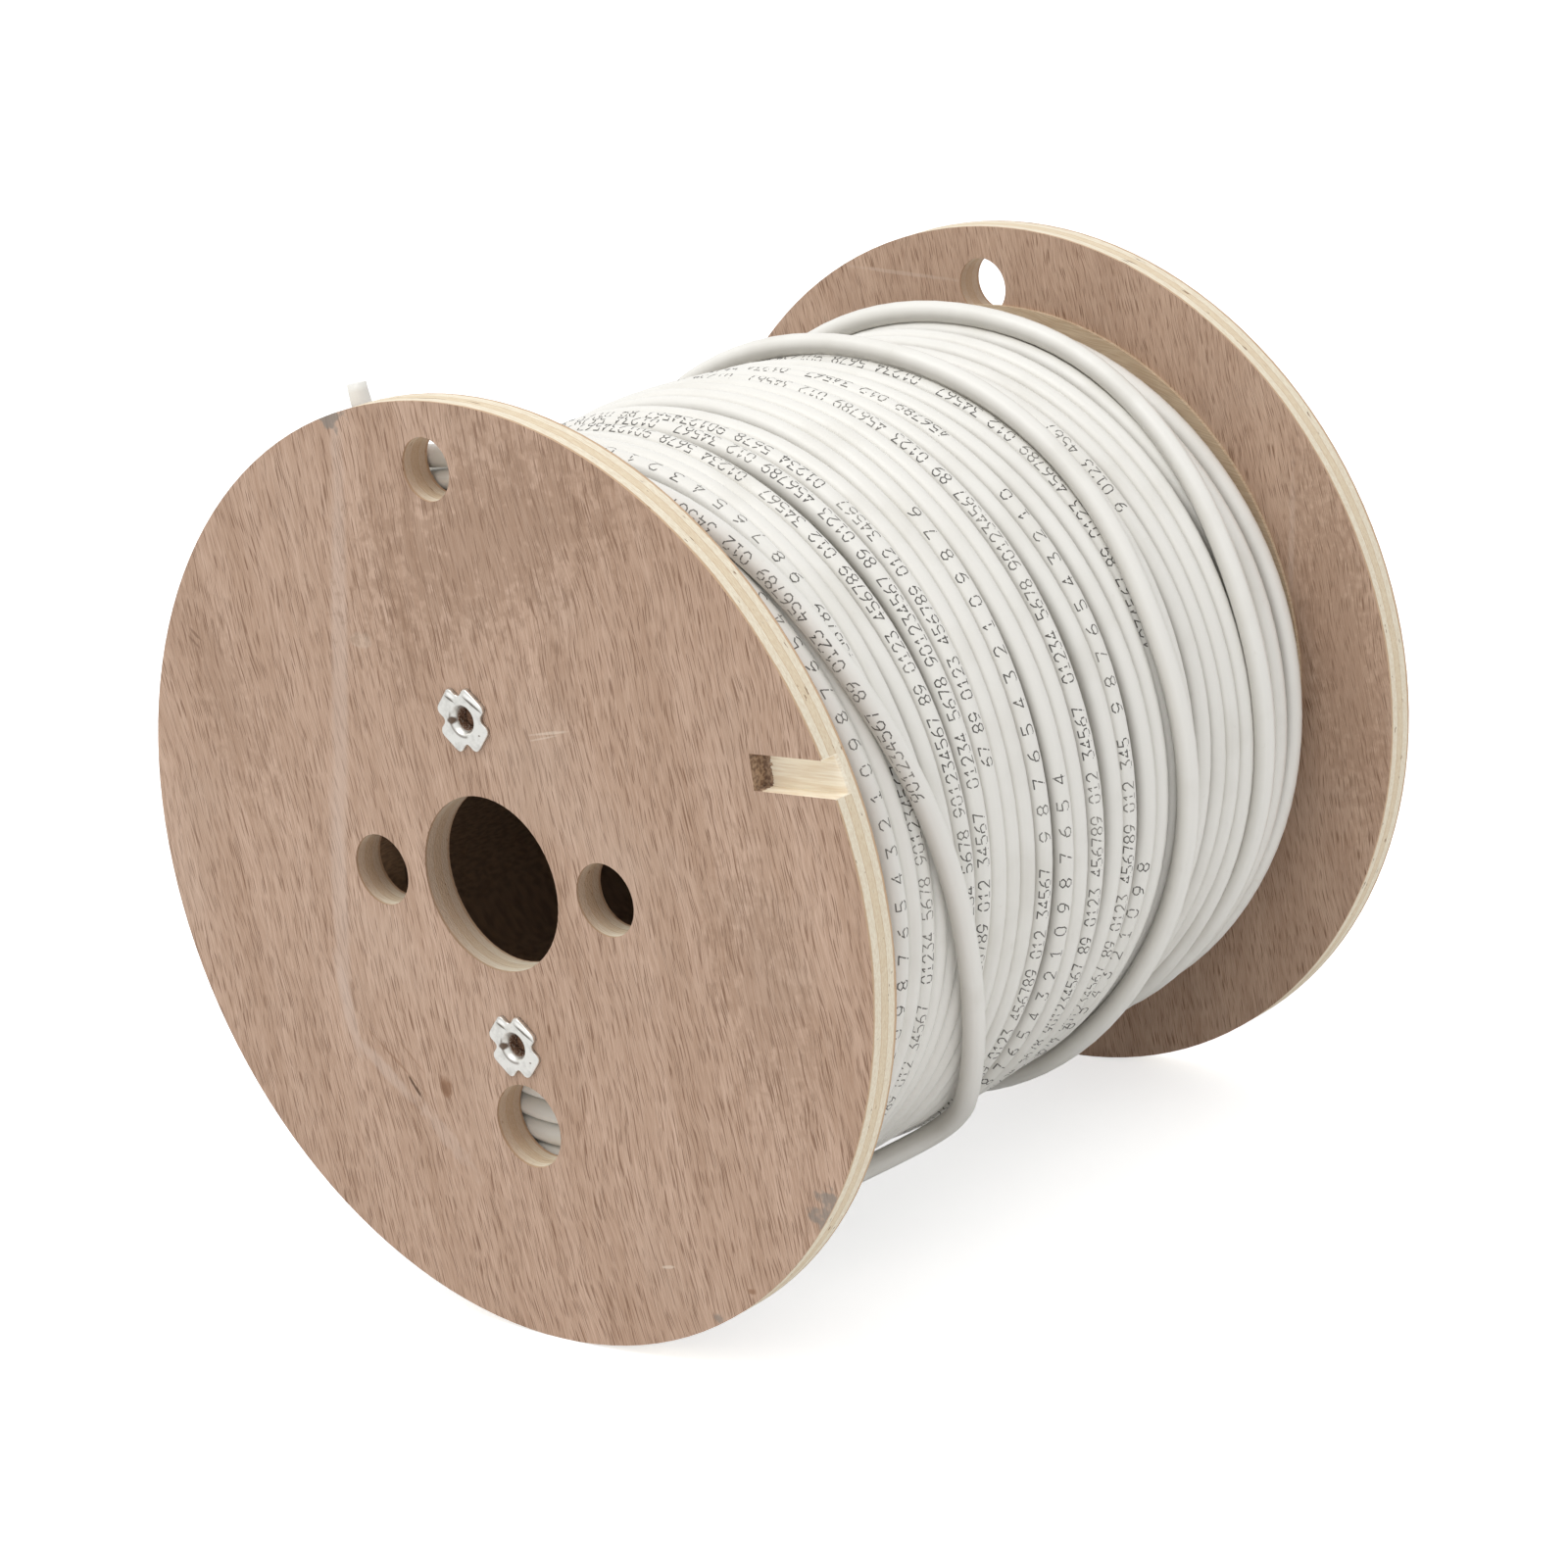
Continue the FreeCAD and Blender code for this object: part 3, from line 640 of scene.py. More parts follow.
ink_corners = []
ink_spins = []
count = 0
ranges = []
for turn, first, last, spin, form in PRINTED:
    row = len(places) - turn
    ranges.append((travelled_to(row, first), travelled_to(row, last), spin, form))
first, last, spin, form = LOOSE_PRINT
loose_start = len(places) * STOPS
loose_angles = [angle for angle, _, _ in LOOSE_TURN]
loose_order = np.arange(len(loose_angles))
loose_stops = [loose_start + np.interp(angle, loose_angles, loose_order) for angle in (first, last)]
loose_lengths = [travelled_to(0, local_angles[0] + stop * STEP) for stop in loose_stops]
ranges.append((*loose_lengths, spin, form))
for start, end, spin, (figure_width, step) in ranges:
    for k in range(int((end - start) / (step * MM))):
        figure = str(9 - k % 10) if step == WIDE[1] else GROUPS[(k + 7 * spin) % len(GROUPS)]
        if figure == " ":
            continue
        for one, other in strokes_of(int(figure)):
            way = (other - one) / max(np.linalg.norm(other - one), 1e-9)
            side = np.array((-way[1], way[0])) * STROKE / 2
            reach = way * STROKE / 4
            quad = (one - reach - side, other + reach - side, other + reach + side, one - reach + side)
            for corner in quad:
                ink_corners.append((start + k * step * MM + corner[0], corner[1]))
                ink_spins.append(spin)
        count += 1
ink_corners = np.array(ink_corners)
ink_points = on_jacket(ink_corners[:, 0], ink_corners[:, 1], np.array(ink_spins))
ink_faces = [(k + 3, k + 2, k + 1, k) for k in range(0, len(ink_points), 4)]
ink_mesh = bpy.data.meshes.new("cable_figures")
ink_mesh.from_pydata([tuple(p) for p in ink_points], [], ink_faces)
cable_figures = bpy.data.objects.new("cable_figures", ink_mesh)
scene.collection.objects.link(cable_figures)
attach(cable_figures, "root")
print("%d figures, %d strokes" % (count, len(ink_faces)))

# %% [markdown]
# ## Helpers for materials
#
# Everything below is built from shader nodes, because a node material needs no image file and
# follows the piece at any distance. A few small helpers keep the node code short: they add a
# node and fill its sockets, add a sum, mix two colours, map a value, and start a group.

# %% Node helpers
def put(tree, kind, sockets=None, **settings):
    """Add a node, set its options, then fill sockets with values or links."""
    node = tree.nodes.new(kind)
    for name, value in settings.items():
        setattr(node, name, value)
    for name, value in (sockets or {}).items():
        if isinstance(value, bpy.types.NodeSocket):
            tree.links.new(value, node.inputs[name])
        else:
            node.inputs[name].default_value = value
    return node


def calc(tree, operation, *values, clamp=False):
    node = tree.nodes.new("ShaderNodeMath")
    node.operation = operation
    node.use_clamp = clamp
    for socket, value in zip(node.inputs, values):
        if isinstance(value, bpy.types.NodeSocket):
            tree.links.new(value, socket)
        else:
            socket.default_value = value
    return node.outputs[0]


def blend(tree, share, first, second, way="MIX"):
    """Mix two colours. Each may be a socket or a colour."""
    node = put(tree, "ShaderNodeMix", data_type="RGBA", blend_type=way)
    for socket, value in zip((node.inputs[0], node.inputs[6], node.inputs[7]), (share, first, second)):
        if isinstance(value, bpy.types.NodeSocket):
            tree.links.new(value, socket)
        else:
            socket.default_value = value
    return node.outputs[2]


def ramp(tree, value, stops, easing="LINEAR"):
    """Map a value through places from 0 to 1, each with a number or a colour."""
    node = put(tree, "ShaderNodeValToRGB", {"Fac": value})
    node.color_ramp.interpolation = easing
    elements = node.color_ramp.elements
    while len(elements) < len(stops):
        elements.new(0.5)
    for element, (place, shade) in zip(elements, stops):
        element.position = place
        element.color = shade if hasattr(shade, "__len__") else (shade, shade, shade, 1)
    return node.outputs[0]


def paint(red, green, blue):
    """Colour from 0 to 255 as a paint chart gives it, turned into light values."""
    shares = [channel / 255 for channel in (red, green, blue)]
    return (*[s / 12.92 if s <= 0.04045 else ((s + 0.055) / 1.055) ** 2.4 for s in shares], 1)


def new_group(name, inputs, outputs):
    """An empty shader group with named sockets; inputs come with their usual values."""
    tree = bpy.data.node_groups.new(name, "ShaderNodeTree")
    for title, kind, value in inputs:
        socket = tree.interface.new_socket(title, in_out="INPUT", socket_type=kind)
        if value is not None:
            socket.default_value = value
    for title, kind in outputs:
        tree.interface.new_socket(title, in_out="OUTPUT", socket_type=kind)
    return tree, tree.nodes.new("NodeGroupInput").outputs, tree.nodes.new("NodeGroupOutput").inputs


FLOAT, VECTOR, COLOUR = "NodeSocketFloat", "NodeSocketVector", "NodeSocketColor"

# %% [markdown]
# ## Wood grain
#
# The face veneer is a straight-grained tropical wood. Close up it is all fine darker streaks a
# few millimetres long, with short open pores between them, and from afar it has faint lighter
# bands. Noise that is stretched along the grain gives all three. The group takes the grain's
# angle, so both flanges use it with their own lean.

# %% Wood grain group
grain, grain_in, grain_out = new_group(
    "wood grain",
    [("Place", VECTOR, None), ("Lean", FLOAT, 0.0), ("Fineness", FLOAT, 1.0)],
    [("Streaks", FLOAT), ("Pores", FLOAT), ("Bands", FLOAT)],
)
turned = put(
    grain,
    "ShaderNodeVectorRotate",
    {"Vector": grain_in["Place"], "Angle": grain_in["Lean"]},
    rotation_type="Y_AXIS",
).outputs[0]
drift = put(grain, "ShaderNodeTexNoise", {"Vector": turned, "Scale": 0.018, "Detail": 2})
drift_x = calc(grain, "MULTIPLY", calc(grain, "SUBTRACT", drift.outputs["Fac"], 0.5), 9)
parts = put(grain, "ShaderNodeSeparateXYZ", {"Vector": turned}).outputs
across = calc(grain, "MULTIPLY", calc(grain, "ADD", parts["X"], drift_x), grain_in["Fineness"])


def stretched(wide, long):
    return put(
        grain,
        "ShaderNodeCombineXYZ",
        {
            "X": calc(grain, "MULTIPLY", across, wide),
            "Y": calc(grain, "MULTIPLY", parts["Y"], 0.4),
            "Z": calc(grain, "MULTIPLY", parts["Z"], long),
        },
    ).outputs[0]


fine = put(grain, "ShaderNodeTexNoise", {"Vector": stretched(3.6, 0.13), "Scale": 1, "Detail": 1})
thin = put(grain, "ShaderNodeTexNoise", {"Vector": stretched(5.4, 0.2), "Scale": 1, "Detail": 0})
fine_share = calc(grain, "MULTIPLY", fine.outputs["Fac"], 0.6)
thin_share = calc(grain, "MULTIPLY", thin.outputs["Fac"], 0.4)
both = calc(grain, "ADD", fine_share, thin_share)
grain.links.new(ramp(grain, both, [(0.38, 0.0), (0.62, 1.0)]), grain_out["Streaks"])
dashes = put(grain, "ShaderNodeTexNoise", {"Vector": stretched(3.3, 0.17), "Scale": 1, "Detail": 0})
grain.links.new(ramp(grain, dashes.outputs["Fac"], [(0.62, 0.0), (0.74, 1.0)]), grain_out["Pores"])
broad = put(grain, "ShaderNodeTexNoise", {"Vector": stretched(0.11, 0.012), "Scale": 1, "Detail": 3})
grain.links.new(ramp(grain, broad.outputs["Fac"], [(0.34, 0.0), (0.66, 1.0)]), grain_out["Bands"])
print("wood grain:", len(grain.nodes), "nodes")

# %% [markdown]
# ## Soiling
#
# Handling leaves soft clouds of dirt and rubbed places, on the wood as on the cable and the
# zinc. One group makes the clouds: their size in millimetres and how much they cover are set
# in each material.

# %% Soiling group
soiling, soiling_in, soiling_out = new_group(
    "soiling",
    [("Place", VECTOR, None), ("Size", FLOAT, 30.0), ("Cover", FLOAT, 0.5)],
    [("Mask", FLOAT)],
)
cloud = put(
    soiling,
    "ShaderNodeTexNoise",
    {"Vector": soiling_in["Place"], "Scale": calc(soiling, "DIVIDE", 1, soiling_in["Size"]), "Detail": 4},
)
low = calc(soiling, "SUBTRACT", 0.75, calc(soiling, "MULTIPLY", soiling_in["Cover"], 0.5))
rise = calc(soiling, "DIVIDE", calc(soiling, "SUBTRACT", cloud.outputs["Fac"], low), 0.2, clamp=True)
soiling.links.new(rise, soiling_out["Mask"])

# %% [markdown]
# ## Marks at one place
#
# A knot, a stain or a rubbed patch sits at one place on a face, and so do the painted highlights
# and shades on the tee nuts and the far flange. The mark group gives a soft oval there, with an
# edge that wanders a little so that it doesn't look stamped.

# %% Mark group
mark, mark_in, mark_out = new_group(
    "mark",
    [
        ("Place", VECTOR, None),
        ("Centre", VECTOR, None),
        ("Reach", VECTOR, (5.0, 5.0, 5.0)),
        ("Lean", FLOAT, 0.0),
        ("Ragged", FLOAT, 0.3),
    ],
    [("Mask", FLOAT)],
)
offset = put(mark, "ShaderNodeVectorMath", {0: mark_in["Place"], 1: mark_in["Centre"]}, operation="SUBTRACT")
leaned = put(
    mark,
    "ShaderNodeVectorRotate",
    {"Vector": offset.outputs[0], "Angle": mark_in["Lean"]},
    rotation_type="Y_AXIS",
)
shares = put(mark, "ShaderNodeVectorMath", {0: leaned.outputs[0], 1: mark_in["Reach"]}, operation="DIVIDE")
length = put(mark, "ShaderNodeVectorMath", {0: shares.outputs[0]}, operation="LENGTH")
rough = put(mark, "ShaderNodeTexNoise", {"Vector": mark_in["Place"], "Scale": 0.35, "Detail": 4})
rough_edge = calc(mark, "MULTIPLY", calc(mark, "SUBTRACT", rough.outputs["Fac"], 0.5), mark_in["Ragged"])
reached = calc(mark, "ADD", length.outputs["Value"], calc(mark, "MULTIPLY", rough_edge, 3))
inside = calc(mark, "SUBTRACT", 1, reached)
mark.links.new(calc(mark, "MULTIPLY", inside, 2.2, clamp=True), mark_out["Mask"])

# %% [markdown]
# ## Plies at the edge
#
# Where a flange is cut, at the rim, in the holes and in the floor of the slot, its plies show:
# a thin face veneer on each side, pale core plies between them, and thin brown glue lines with
# a few open voids. The group reads how deep a place lies in the board, so every cut shows the
# same plies without any mapping.

# %% Plies group
plies, plies_in, plies_out = new_group(
    "plies", [("Place", VECTOR, None), ("Depth", FLOAT, 0.5)], [("Colour", COLOUR), ("Height", FLOAT)]
)
wave = put(plies, "ShaderNodeTexNoise", {"Vector": plies_in["Place"], "Scale": 0.05, "Detail": 3})
waviness = calc(plies, "MULTIPLY", calc(plies, "SUBTRACT", wave.outputs["Fac"], 0.5), 0.10)
wavy = calc(plies, "ADD", plies_in["Depth"], waviness)
VENEER, CREAM = paint(206, 176, 146), paint(244, 235, 214)
TAN, GLUE = paint(234, 219, 192), paint(204, 174, 138)
layers = ramp(
    plies,
    wavy,
    [
        (0.0, VENEER),
        (0.07, VENEER),
        (0.09, CREAM),
        (0.34, CREAM),
        (0.35, GLUE),
        (0.37, TAN),
        (0.61, TAN),
        (0.63, GLUE),
        (0.64, CREAM),
        (0.90, CREAM),
        (0.93, VENEER),
    ],
)
cut_parts = put(plies, "ShaderNodeSeparateXYZ", {"Vector": plies_in["Place"]}).outputs
along_cut = put(
    plies,
    "ShaderNodeCombineXYZ",
    {
        "X": calc(plies, "MULTIPLY", cut_parts["X"], 0.14),
        "Y": calc(plies, "MULTIPLY", cut_parts["Y"], 2.2),
        "Z": calc(plies, "MULTIPLY", cut_parts["Z"], 0.9),
    },
).outputs[0]
torn = put(plies, "ShaderNodeTexNoise", {"Vector": along_cut, "Scale": 1, "Detail": 4})
torn_share = ramp(plies, torn.outputs["Fac"], [(0.35, 0.0), (0.75, 1.0)])
fibred = blend(plies, calc(plies, "MULTIPLY", torn_share, 0.38), layers, paint(198, 164, 124))
void = put(plies, "ShaderNodeTexNoise", {"Vector": along_cut, "Scale": 0.33, "Detail": 2})
voids = ramp(plies, void.outputs["Fac"], [(0.70, 0.0), (0.74, 1.0)])
# painted shade: the open voids are painted dark brown for the shade inside them, and the bump sinks them
plies_and_shaded_voids = blend(plies, calc(plies, "MULTIPLY", voids, 0.8), fibred, paint(134, 98, 68))
plies.links.new(plies_and_shaded_voids, plies_out["Colour"])
cut_height = calc(plies, "SUBTRACT", torn_share, calc(plies, "MULTIPLY", voids, 2))
plies.links.new(cut_height, plies_out["Height"])

# %% [markdown]
# ## Plywood flanges
#
# Each flange is one CAD solid, so its material decides by place what it is: veneer on the two
# faces, plies at every cut. The near flange has the marks of its life on it: a small knot with
# a dark fleck, a grey stain on the rim, scuffs, and a long pale rubbed stripe.

# %% Plywood material
BOARD = (far_high[1] - FAR_INSIDE) / MM
SLOT_MIDDLE, SLOT_HALF, SLOT_END = 40.2, 4.9, 101.55


def millimetres(tree):
    """Place in the reel's own frame, in millimetres."""
    where = put(tree, "ShaderNodeTexCoord").outputs["Object"]
    return put(tree, "ShaderNodeVectorMath", {0: where, "Scale": 1000.0}, operation="SCALE").outputs[0]


def scaled(tree, place, factors):
    """Place with each coordinate multiplied by its own factor."""
    return put(tree, "ShaderNodeVectorMath", {0: place, 1: factors}, operation="MULTIPLY").outputs[0]


def length_of(tree, place):
    return put(tree, "ShaderNodeVectorMath", {0: place}, operation="LENGTH").outputs["Value"]


def use(tree, group, sockets):
    """Place a shader group in a material and fill its sockets."""
    return put(tree, "ShaderNodeGroup", sockets, node_tree=group).outputs


def add_bump(tree, shader, height, strength, distance):
    bump = put(tree, "ShaderNodeBump", {"Height": height, "Strength": strength, "Distance": distance})
    tree.links.new(bump.outputs[0], shader["Normal"])


def new_material(name):
    material = bpy.data.materials.new(name)
    material.use_nodes = True
    tree = material.node_tree
    return material, tree, tree.nodes["Principled BSDF"].inputs


def dress_slot(tree, place, parts, wall):
    """The slot's floor is bright torn fibres along X; its inner end is dark and ragged."""
    aside = calc(tree, "ABSOLUTE", calc(tree, "SUBTRACT", parts["Z"], SLOT_MIDDLE))
    in_slot = calc(tree, "LESS_THAN", aside, SLOT_HALF + 0.2)
    in_slot = calc(tree, "MULTIPLY", in_slot, calc(tree, "GREATER_THAN", parts["X"], SLOT_END - 0.4))
    in_slot = calc(tree, "MULTIPLY", in_slot, calc(tree, "LESS_THAN", parts["Y"], NEAR_INSIDE / MM - 3))
    stretch = scaled(tree, place, (0.09, 0.5, 1.5))
    fibres = put(tree, "ShaderNodeTexNoise", {"Vector": stretch, "Scale": 1, "Detail": 3}).outputs["Fac"]
    fibres = ramp(tree, fibres, [(0.4, 0.0), (0.66, 1.0)])
    bright = blend(tree, calc(tree, "MULTIPLY", fibres, 0.5), paint(255, 246, 226), paint(222, 196, 162))
    colour = blend(tree, calc(tree, "MULTIPLY", in_slot, 0.9), wall, bright)
    rag = put(tree, "ShaderNodeTexNoise", {"Vector": place, "Scale": 1.1, "Detail": 3}).outputs["Fac"]
    reach = calc(tree, "ADD", SLOT_END + 0.4, calc(tree, "MULTIPLY", rag, 4.2))
    torn_end = calc(tree, "MULTIPLY", calc(tree, "LESS_THAN", parts["X"], reach), in_slot)
    browns = blend(tree, ramp(tree, rag, [(0.42, 0.0), (0.6, 1.0)]), paint(112, 80, 60), paint(176, 146, 120))
    return blend(tree, calc(tree, "MULTIPLY", torn_end, 0.9), colour, browns)


def add_marks(tree, place, colour, marks):
    """Lay marks over a colour. Each: centre and reach in mm, slant, raggedness, strength, shade."""
    for centre, reach, slant, ragged, strength, shade in marks:
        oval = use(
            tree,
            mark,
            {"Place": place, "Centre": centre, "Reach": reach, "Lean": math.radians(slant), "Ragged": ragged},
        )["Mask"]
        colour = blend(tree, calc(tree, "MULTIPLY", oval, strength), colour, shade)
    return colour


def make_plywood(name, lean, light, dark, marks):
    material, tree, shader = new_material(name)
    place = millimetres(tree)
    parts = put(tree, "ShaderNodeSeparateXYZ", {"Vector": place}).outputs
    behind = calc(tree, "SUBTRACT", calc(tree, "ABSOLUTE", parts["Y"]), FAR_INSIDE / MM)
    depth = calc(tree, "DIVIDE", behind, BOARD)
    from_middle = calc(tree, "ABSOLUTE", calc(tree, "SUBTRACT", depth, 0.5))
    on_face = calc(tree, "GREATER_THAN", from_middle, 0.492)
    wood = use(tree, grain, {"Place": place, "Lean": lean})
    colour = blend(tree, calc(tree, "MULTIPLY", wood["Bands"], 0.5), dark, light)
    colour = blend(tree, calc(tree, "MULTIPLY", wood["Streaks"], 0.44), colour, paint(146, 112, 88))
    colour = blend(tree, calc(tree, "MULTIPLY", wood["Pores"], 0.7), colour, paint(118, 85, 62))
    clouds = use(tree, soiling, {"Place": place, "Size": 46.0, "Cover": 0.42})["Mask"]
    colour = blend(tree, calc(tree, "MULTIPLY", clouds, 0.22), colour, paint(206, 184, 166))
    dirt = use(tree, soiling, {"Place": place, "Size": 90.0, "Cover": 0.3})["Mask"]
    colour = blend(tree, calc(tree, "MULTIPLY", dirt, 0.18), colour, paint(140, 112, 92))
    colour = add_marks(tree, place, colour, marks)
    cut = use(tree, plies, {"Place": place, "Depth": depth})
    # painted shade: hole walls that face +X, away from the lamp, are painted browner
    normal = put(tree, "ShaderNodeNewGeometry").outputs["Normal"]
    facing = put(tree, "ShaderNodeSeparateXYZ", {"Vector": normal}).outputs
    radius = length_of(tree, scaled(tree, place, (1, 0, 1)))
    in_hole = calc(tree, "LESS_THAN", radius, RIM_RADIUS / MM - 6)
    painted_wall_shade = calc(tree, "MULTIPLY", calc(tree, "ADD", facing["X"], 0.15, clamp=True), in_hole)
    wall = blend(tree, calc(tree, "MULTIPLY", painted_wall_shade, 0.7), cut["Colour"], paint(168, 134, 110))
    colour = blend(tree, on_face, dress_slot(tree, place, parts, wall), colour)
    tree.links.new(colour, shader["Base Color"])
    roughness = calc(tree, "ADD", 0.62, calc(tree, "MULTIPLY", wood["Streaks"], 0.16))
    tree.links.new(roughness, shader["Roughness"])
    shader["Specular IOR Level"].default_value = 0.3
    face_height = calc(tree, "SUBTRACT", calc(tree, "MULTIPLY", wood["Streaks"], -0.5), wood["Pores"])
    heights = put(tree, "ShaderNodeMix", data_type="FLOAT")
    tree.links.new(on_face, heights.inputs[0])
    tree.links.new(cut["Height"], heights.inputs[2])
    tree.links.new(face_height, heights.inputs[3])
    add_bump(tree, shader, heights.outputs[0], 0.55, 0.0002)
    return material


PALE, GREY, KNOT = paint(207, 184, 168), paint(138, 130, 122), paint(146, 110, 84)
DARK_PATCH, SCRATCH = paint(150, 120, 98), paint(220, 201, 182)
NEAR_Y = NEAR_FACE / MM
near_marks = [
    ((-46, NEAR_Y, 60), (3.9, 4, 84), -12.5, 0.1, 0.5, PALE),
    ((-62.5, NEAR_Y, -12), (3.9, 4, 46), -9, 0.1, 0.45, PALE),
    ((-66.5, NEAR_Y, -43), (2.9, 4, 19), 6, 0.15, 0.5, PALE),
    ((-55, NEAR_Y, -61), (2.8, 4, 17), 51, 0.2, 0.5, PALE),
    ((-34, NEAR_Y, -78), (3.4, 4, 17), 44, 0.5, 0.35, PALE),
    ((-49, NEAR_Y, -58), (0.6, 4, 15), 50, 0.3, 0.5, KNOT),
    ((-43.5, NEAR_Y, -55), (0.4, 4, 7), 44, 0.3, 0.45, KNOT),
    ((-34, NEAR_Y, 122), (1.6, 4, 8), -12, 0.3, 0.3, PALE),
    ((-36, NEAR_Y, 66), (4, 4, 2.4), 0, 0.9, 0.3, SCRATCH),
    ((20, NEAR_Y, 98), (60, 4, 26), 20, 1.0, 0.42, DARK_PATCH),
    ((95, NEAR_Y, -20), (16, 4, 40), 5, 1.0, 0.3, DARK_PATCH),
    ((-95, NEAR_Y, 45), (12, 4, 34), 14, 1.0, 0.28, DARK_PATCH),
    ((-20, NEAR_Y, 62), (9, 4, 16), 8, 1.0, 0.25, DARK_PATCH),
    ((38, NEAR_Y, 60), (8, 4, 15), 8, 1.0, 0.25, DARK_PATCH),
    ((-31, NEAR_Y, -63), (2.6, 4, 3.6), 10, 0.4, 0.85, KNOT),
    ((-31.5, NEAR_Y, -63), (1.3, 4, 2.2), 10, 0.3, 0.5, paint(122, 88, 66)),
    ((-44, NEAR_Y, -64), (0.7, 4, 4.2), 34, 0.4, 0.95, paint(96, 72, 54)),
    ((-35, NEAR_Y, 128.5), (7, 6, 4), 0, 0.9, 0.8, GREY),
    ((109, NEAR_Y, -79), (8, 12, 8), 0, 0.8, 0.75, GREY),
    ((76, NEAR_Y, -106), (2.2, 4, 1.2), 0, 0.4, 0.8, KNOT),
    ((62, NEAR_Y, -116), (2.4, 4, 1.6), 0, 0.4, 0.6, GREY),
    ((31, NEAR_Y, 45), (0.5, 4, 9), -82, 0.3, 0.6, SCRATCH),
    ((29, NEAR_Y, 43.5), (0.35, 4, 6), -78, 0.3, 0.5, SCRATCH),
    ((46, NEAR_Y, -104), (0.5, 4, 3), -80, 0.3, 0.7, SCRATCH),
    ((-105, NEAR_Y, 64), (0.6, 4, 3.4), 50, 0.4, 0.7, paint(128, 100, 80)),
    ((-106, NEAR_Y, 61.5), (0.5, 4, 3.0), 50, 0.4, 0.6, paint(128, 100, 80)),
]
far_marks_and_shade = [
    ((-30, FAR_INSIDE / MM, 119), (0.8, 4, 26), 84, 0.3, 0.4, PALE),
    ((104, FAR_INSIDE / MM, 40), (1.2, 4, 30), -8, 0.4, 0.35, PALE),
    # painted shade: the far flange's inside at the right, beside the winding, where the winding shades it
    ((118, FAR_INSIDE / MM, 10), (14, 4, 60), 4, 0.9, 0.35, DARK_PATCH),
]
GRAIN_LEAN = math.radians(6)
near_light, near_dark = paint(219, 190, 169), paint(191, 161, 139)
far_light, far_dark = paint(220, 191, 168), paint(192, 162, 140)
plywood_near = make_plywood("plywood_near", GRAIN_LEAN, near_light, near_dark, near_marks)
plywood_far = make_plywood("plywood_far", GRAIN_LEAN, far_light, far_dark, far_marks_and_shade)
frame_nodes = {name: bpy.data.objects[name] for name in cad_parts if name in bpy.data.objects}


def finish_node(name, material):
    """Give a CAD node a material in place of its plain one."""
    node = frame_nodes[name]
    for slot in node.material_slots:
        slot.material = material
    if not node.material_slots:
        node.data.materials.append(material)


finish_node("near_flange", plywood_near)
finish_node("far_flange", plywood_far)
print("marks on the near flange:", len(near_marks))

# %% [markdown]
# ## Core, liner and zinc
#
# The core is a spirally wound tube of brown board, mostly in the dark. The liner is a thin tan
# sheet against the far flange; its tan colour is painted shade: the wood-tinted shade on the last
# turn, which lies against that flange. The tee nuts, bolts and washers are bright zinc: a thin,
# slightly cloudy plate over steel. Inside the tee nuts' bores the bolt ends are dark with old oil.

# %% Fibreboard, and the liner's painted shade
fibreboard, tree, shader = new_material("fibreboard")
place = millimetres(tree)
parts = put(tree, "ShaderNodeSeparateXYZ", {"Vector": place}).outputs
round_it = put(tree, "ShaderNodeMath", operation="ARCTAN2")
tree.links.new(parts["Z"], round_it.inputs[0])
tree.links.new(parts["X"], round_it.inputs[1])
SEAM_PITCH = 70
along_tube = calc(tree, "DIVIDE", parts["Y"], SEAM_PITCH)
wound = calc(tree, "ADD", along_tube, calc(tree, "DIVIDE", round_it.outputs[0], 2 * math.pi))
seam = calc(tree, "LESS_THAN", calc(tree, "FRACT", wound), 0.012)
fibres = use(tree, grain, {"Place": place, "Lean": 0.6, "Fineness": 0.6})
board = blend(tree, fibres["Streaks"], paint(146, 118, 92), paint(124, 98, 76))
board = blend(tree, calc(tree, "MULTIPLY", seam, 0.7), board, paint(60, 42, 30))
tree.links.new(board, shader["Base Color"])
tree.links.new(calc(tree, "ADD", 0.78, calc(tree, "MULTIPLY", fibres["Pores"], 0.12)), shader["Roughness"])
add_bump(tree, shader, fibres["Streaks"], 0.3, 0.0002)
finish_node("core_tube", fibreboard)

# painted shade: the liner's tan colour stands for the wood-tinted shade on the last turn against the far
# flange
card, tree, shader = new_material("card")
place = millimetres(tree)
fibres = use(tree, grain, {"Place": place, "Lean": 1.3, "Fineness": 0.8})
worn = use(tree, soiling, {"Place": place, "Size": 18.0, "Cover": 0.5})["Mask"]
sheet = blend(tree, fibres["Streaks"], paint(212, 192, 164), paint(196, 172, 142))
sheet = blend(tree, calc(tree, "MULTIPLY", worn, 0.4), sheet, paint(178, 150, 120))
tree.links.new(sheet, shader["Base Color"])
tree.links.new(calc(tree, "ADD", 0.75, calc(tree, "MULTIPLY", worn, 0.15)), shader["Roughness"])
add_bump(tree, shader, fibres["Streaks"], 0.2, 0.0002)
finish_node("liner_disc", card)

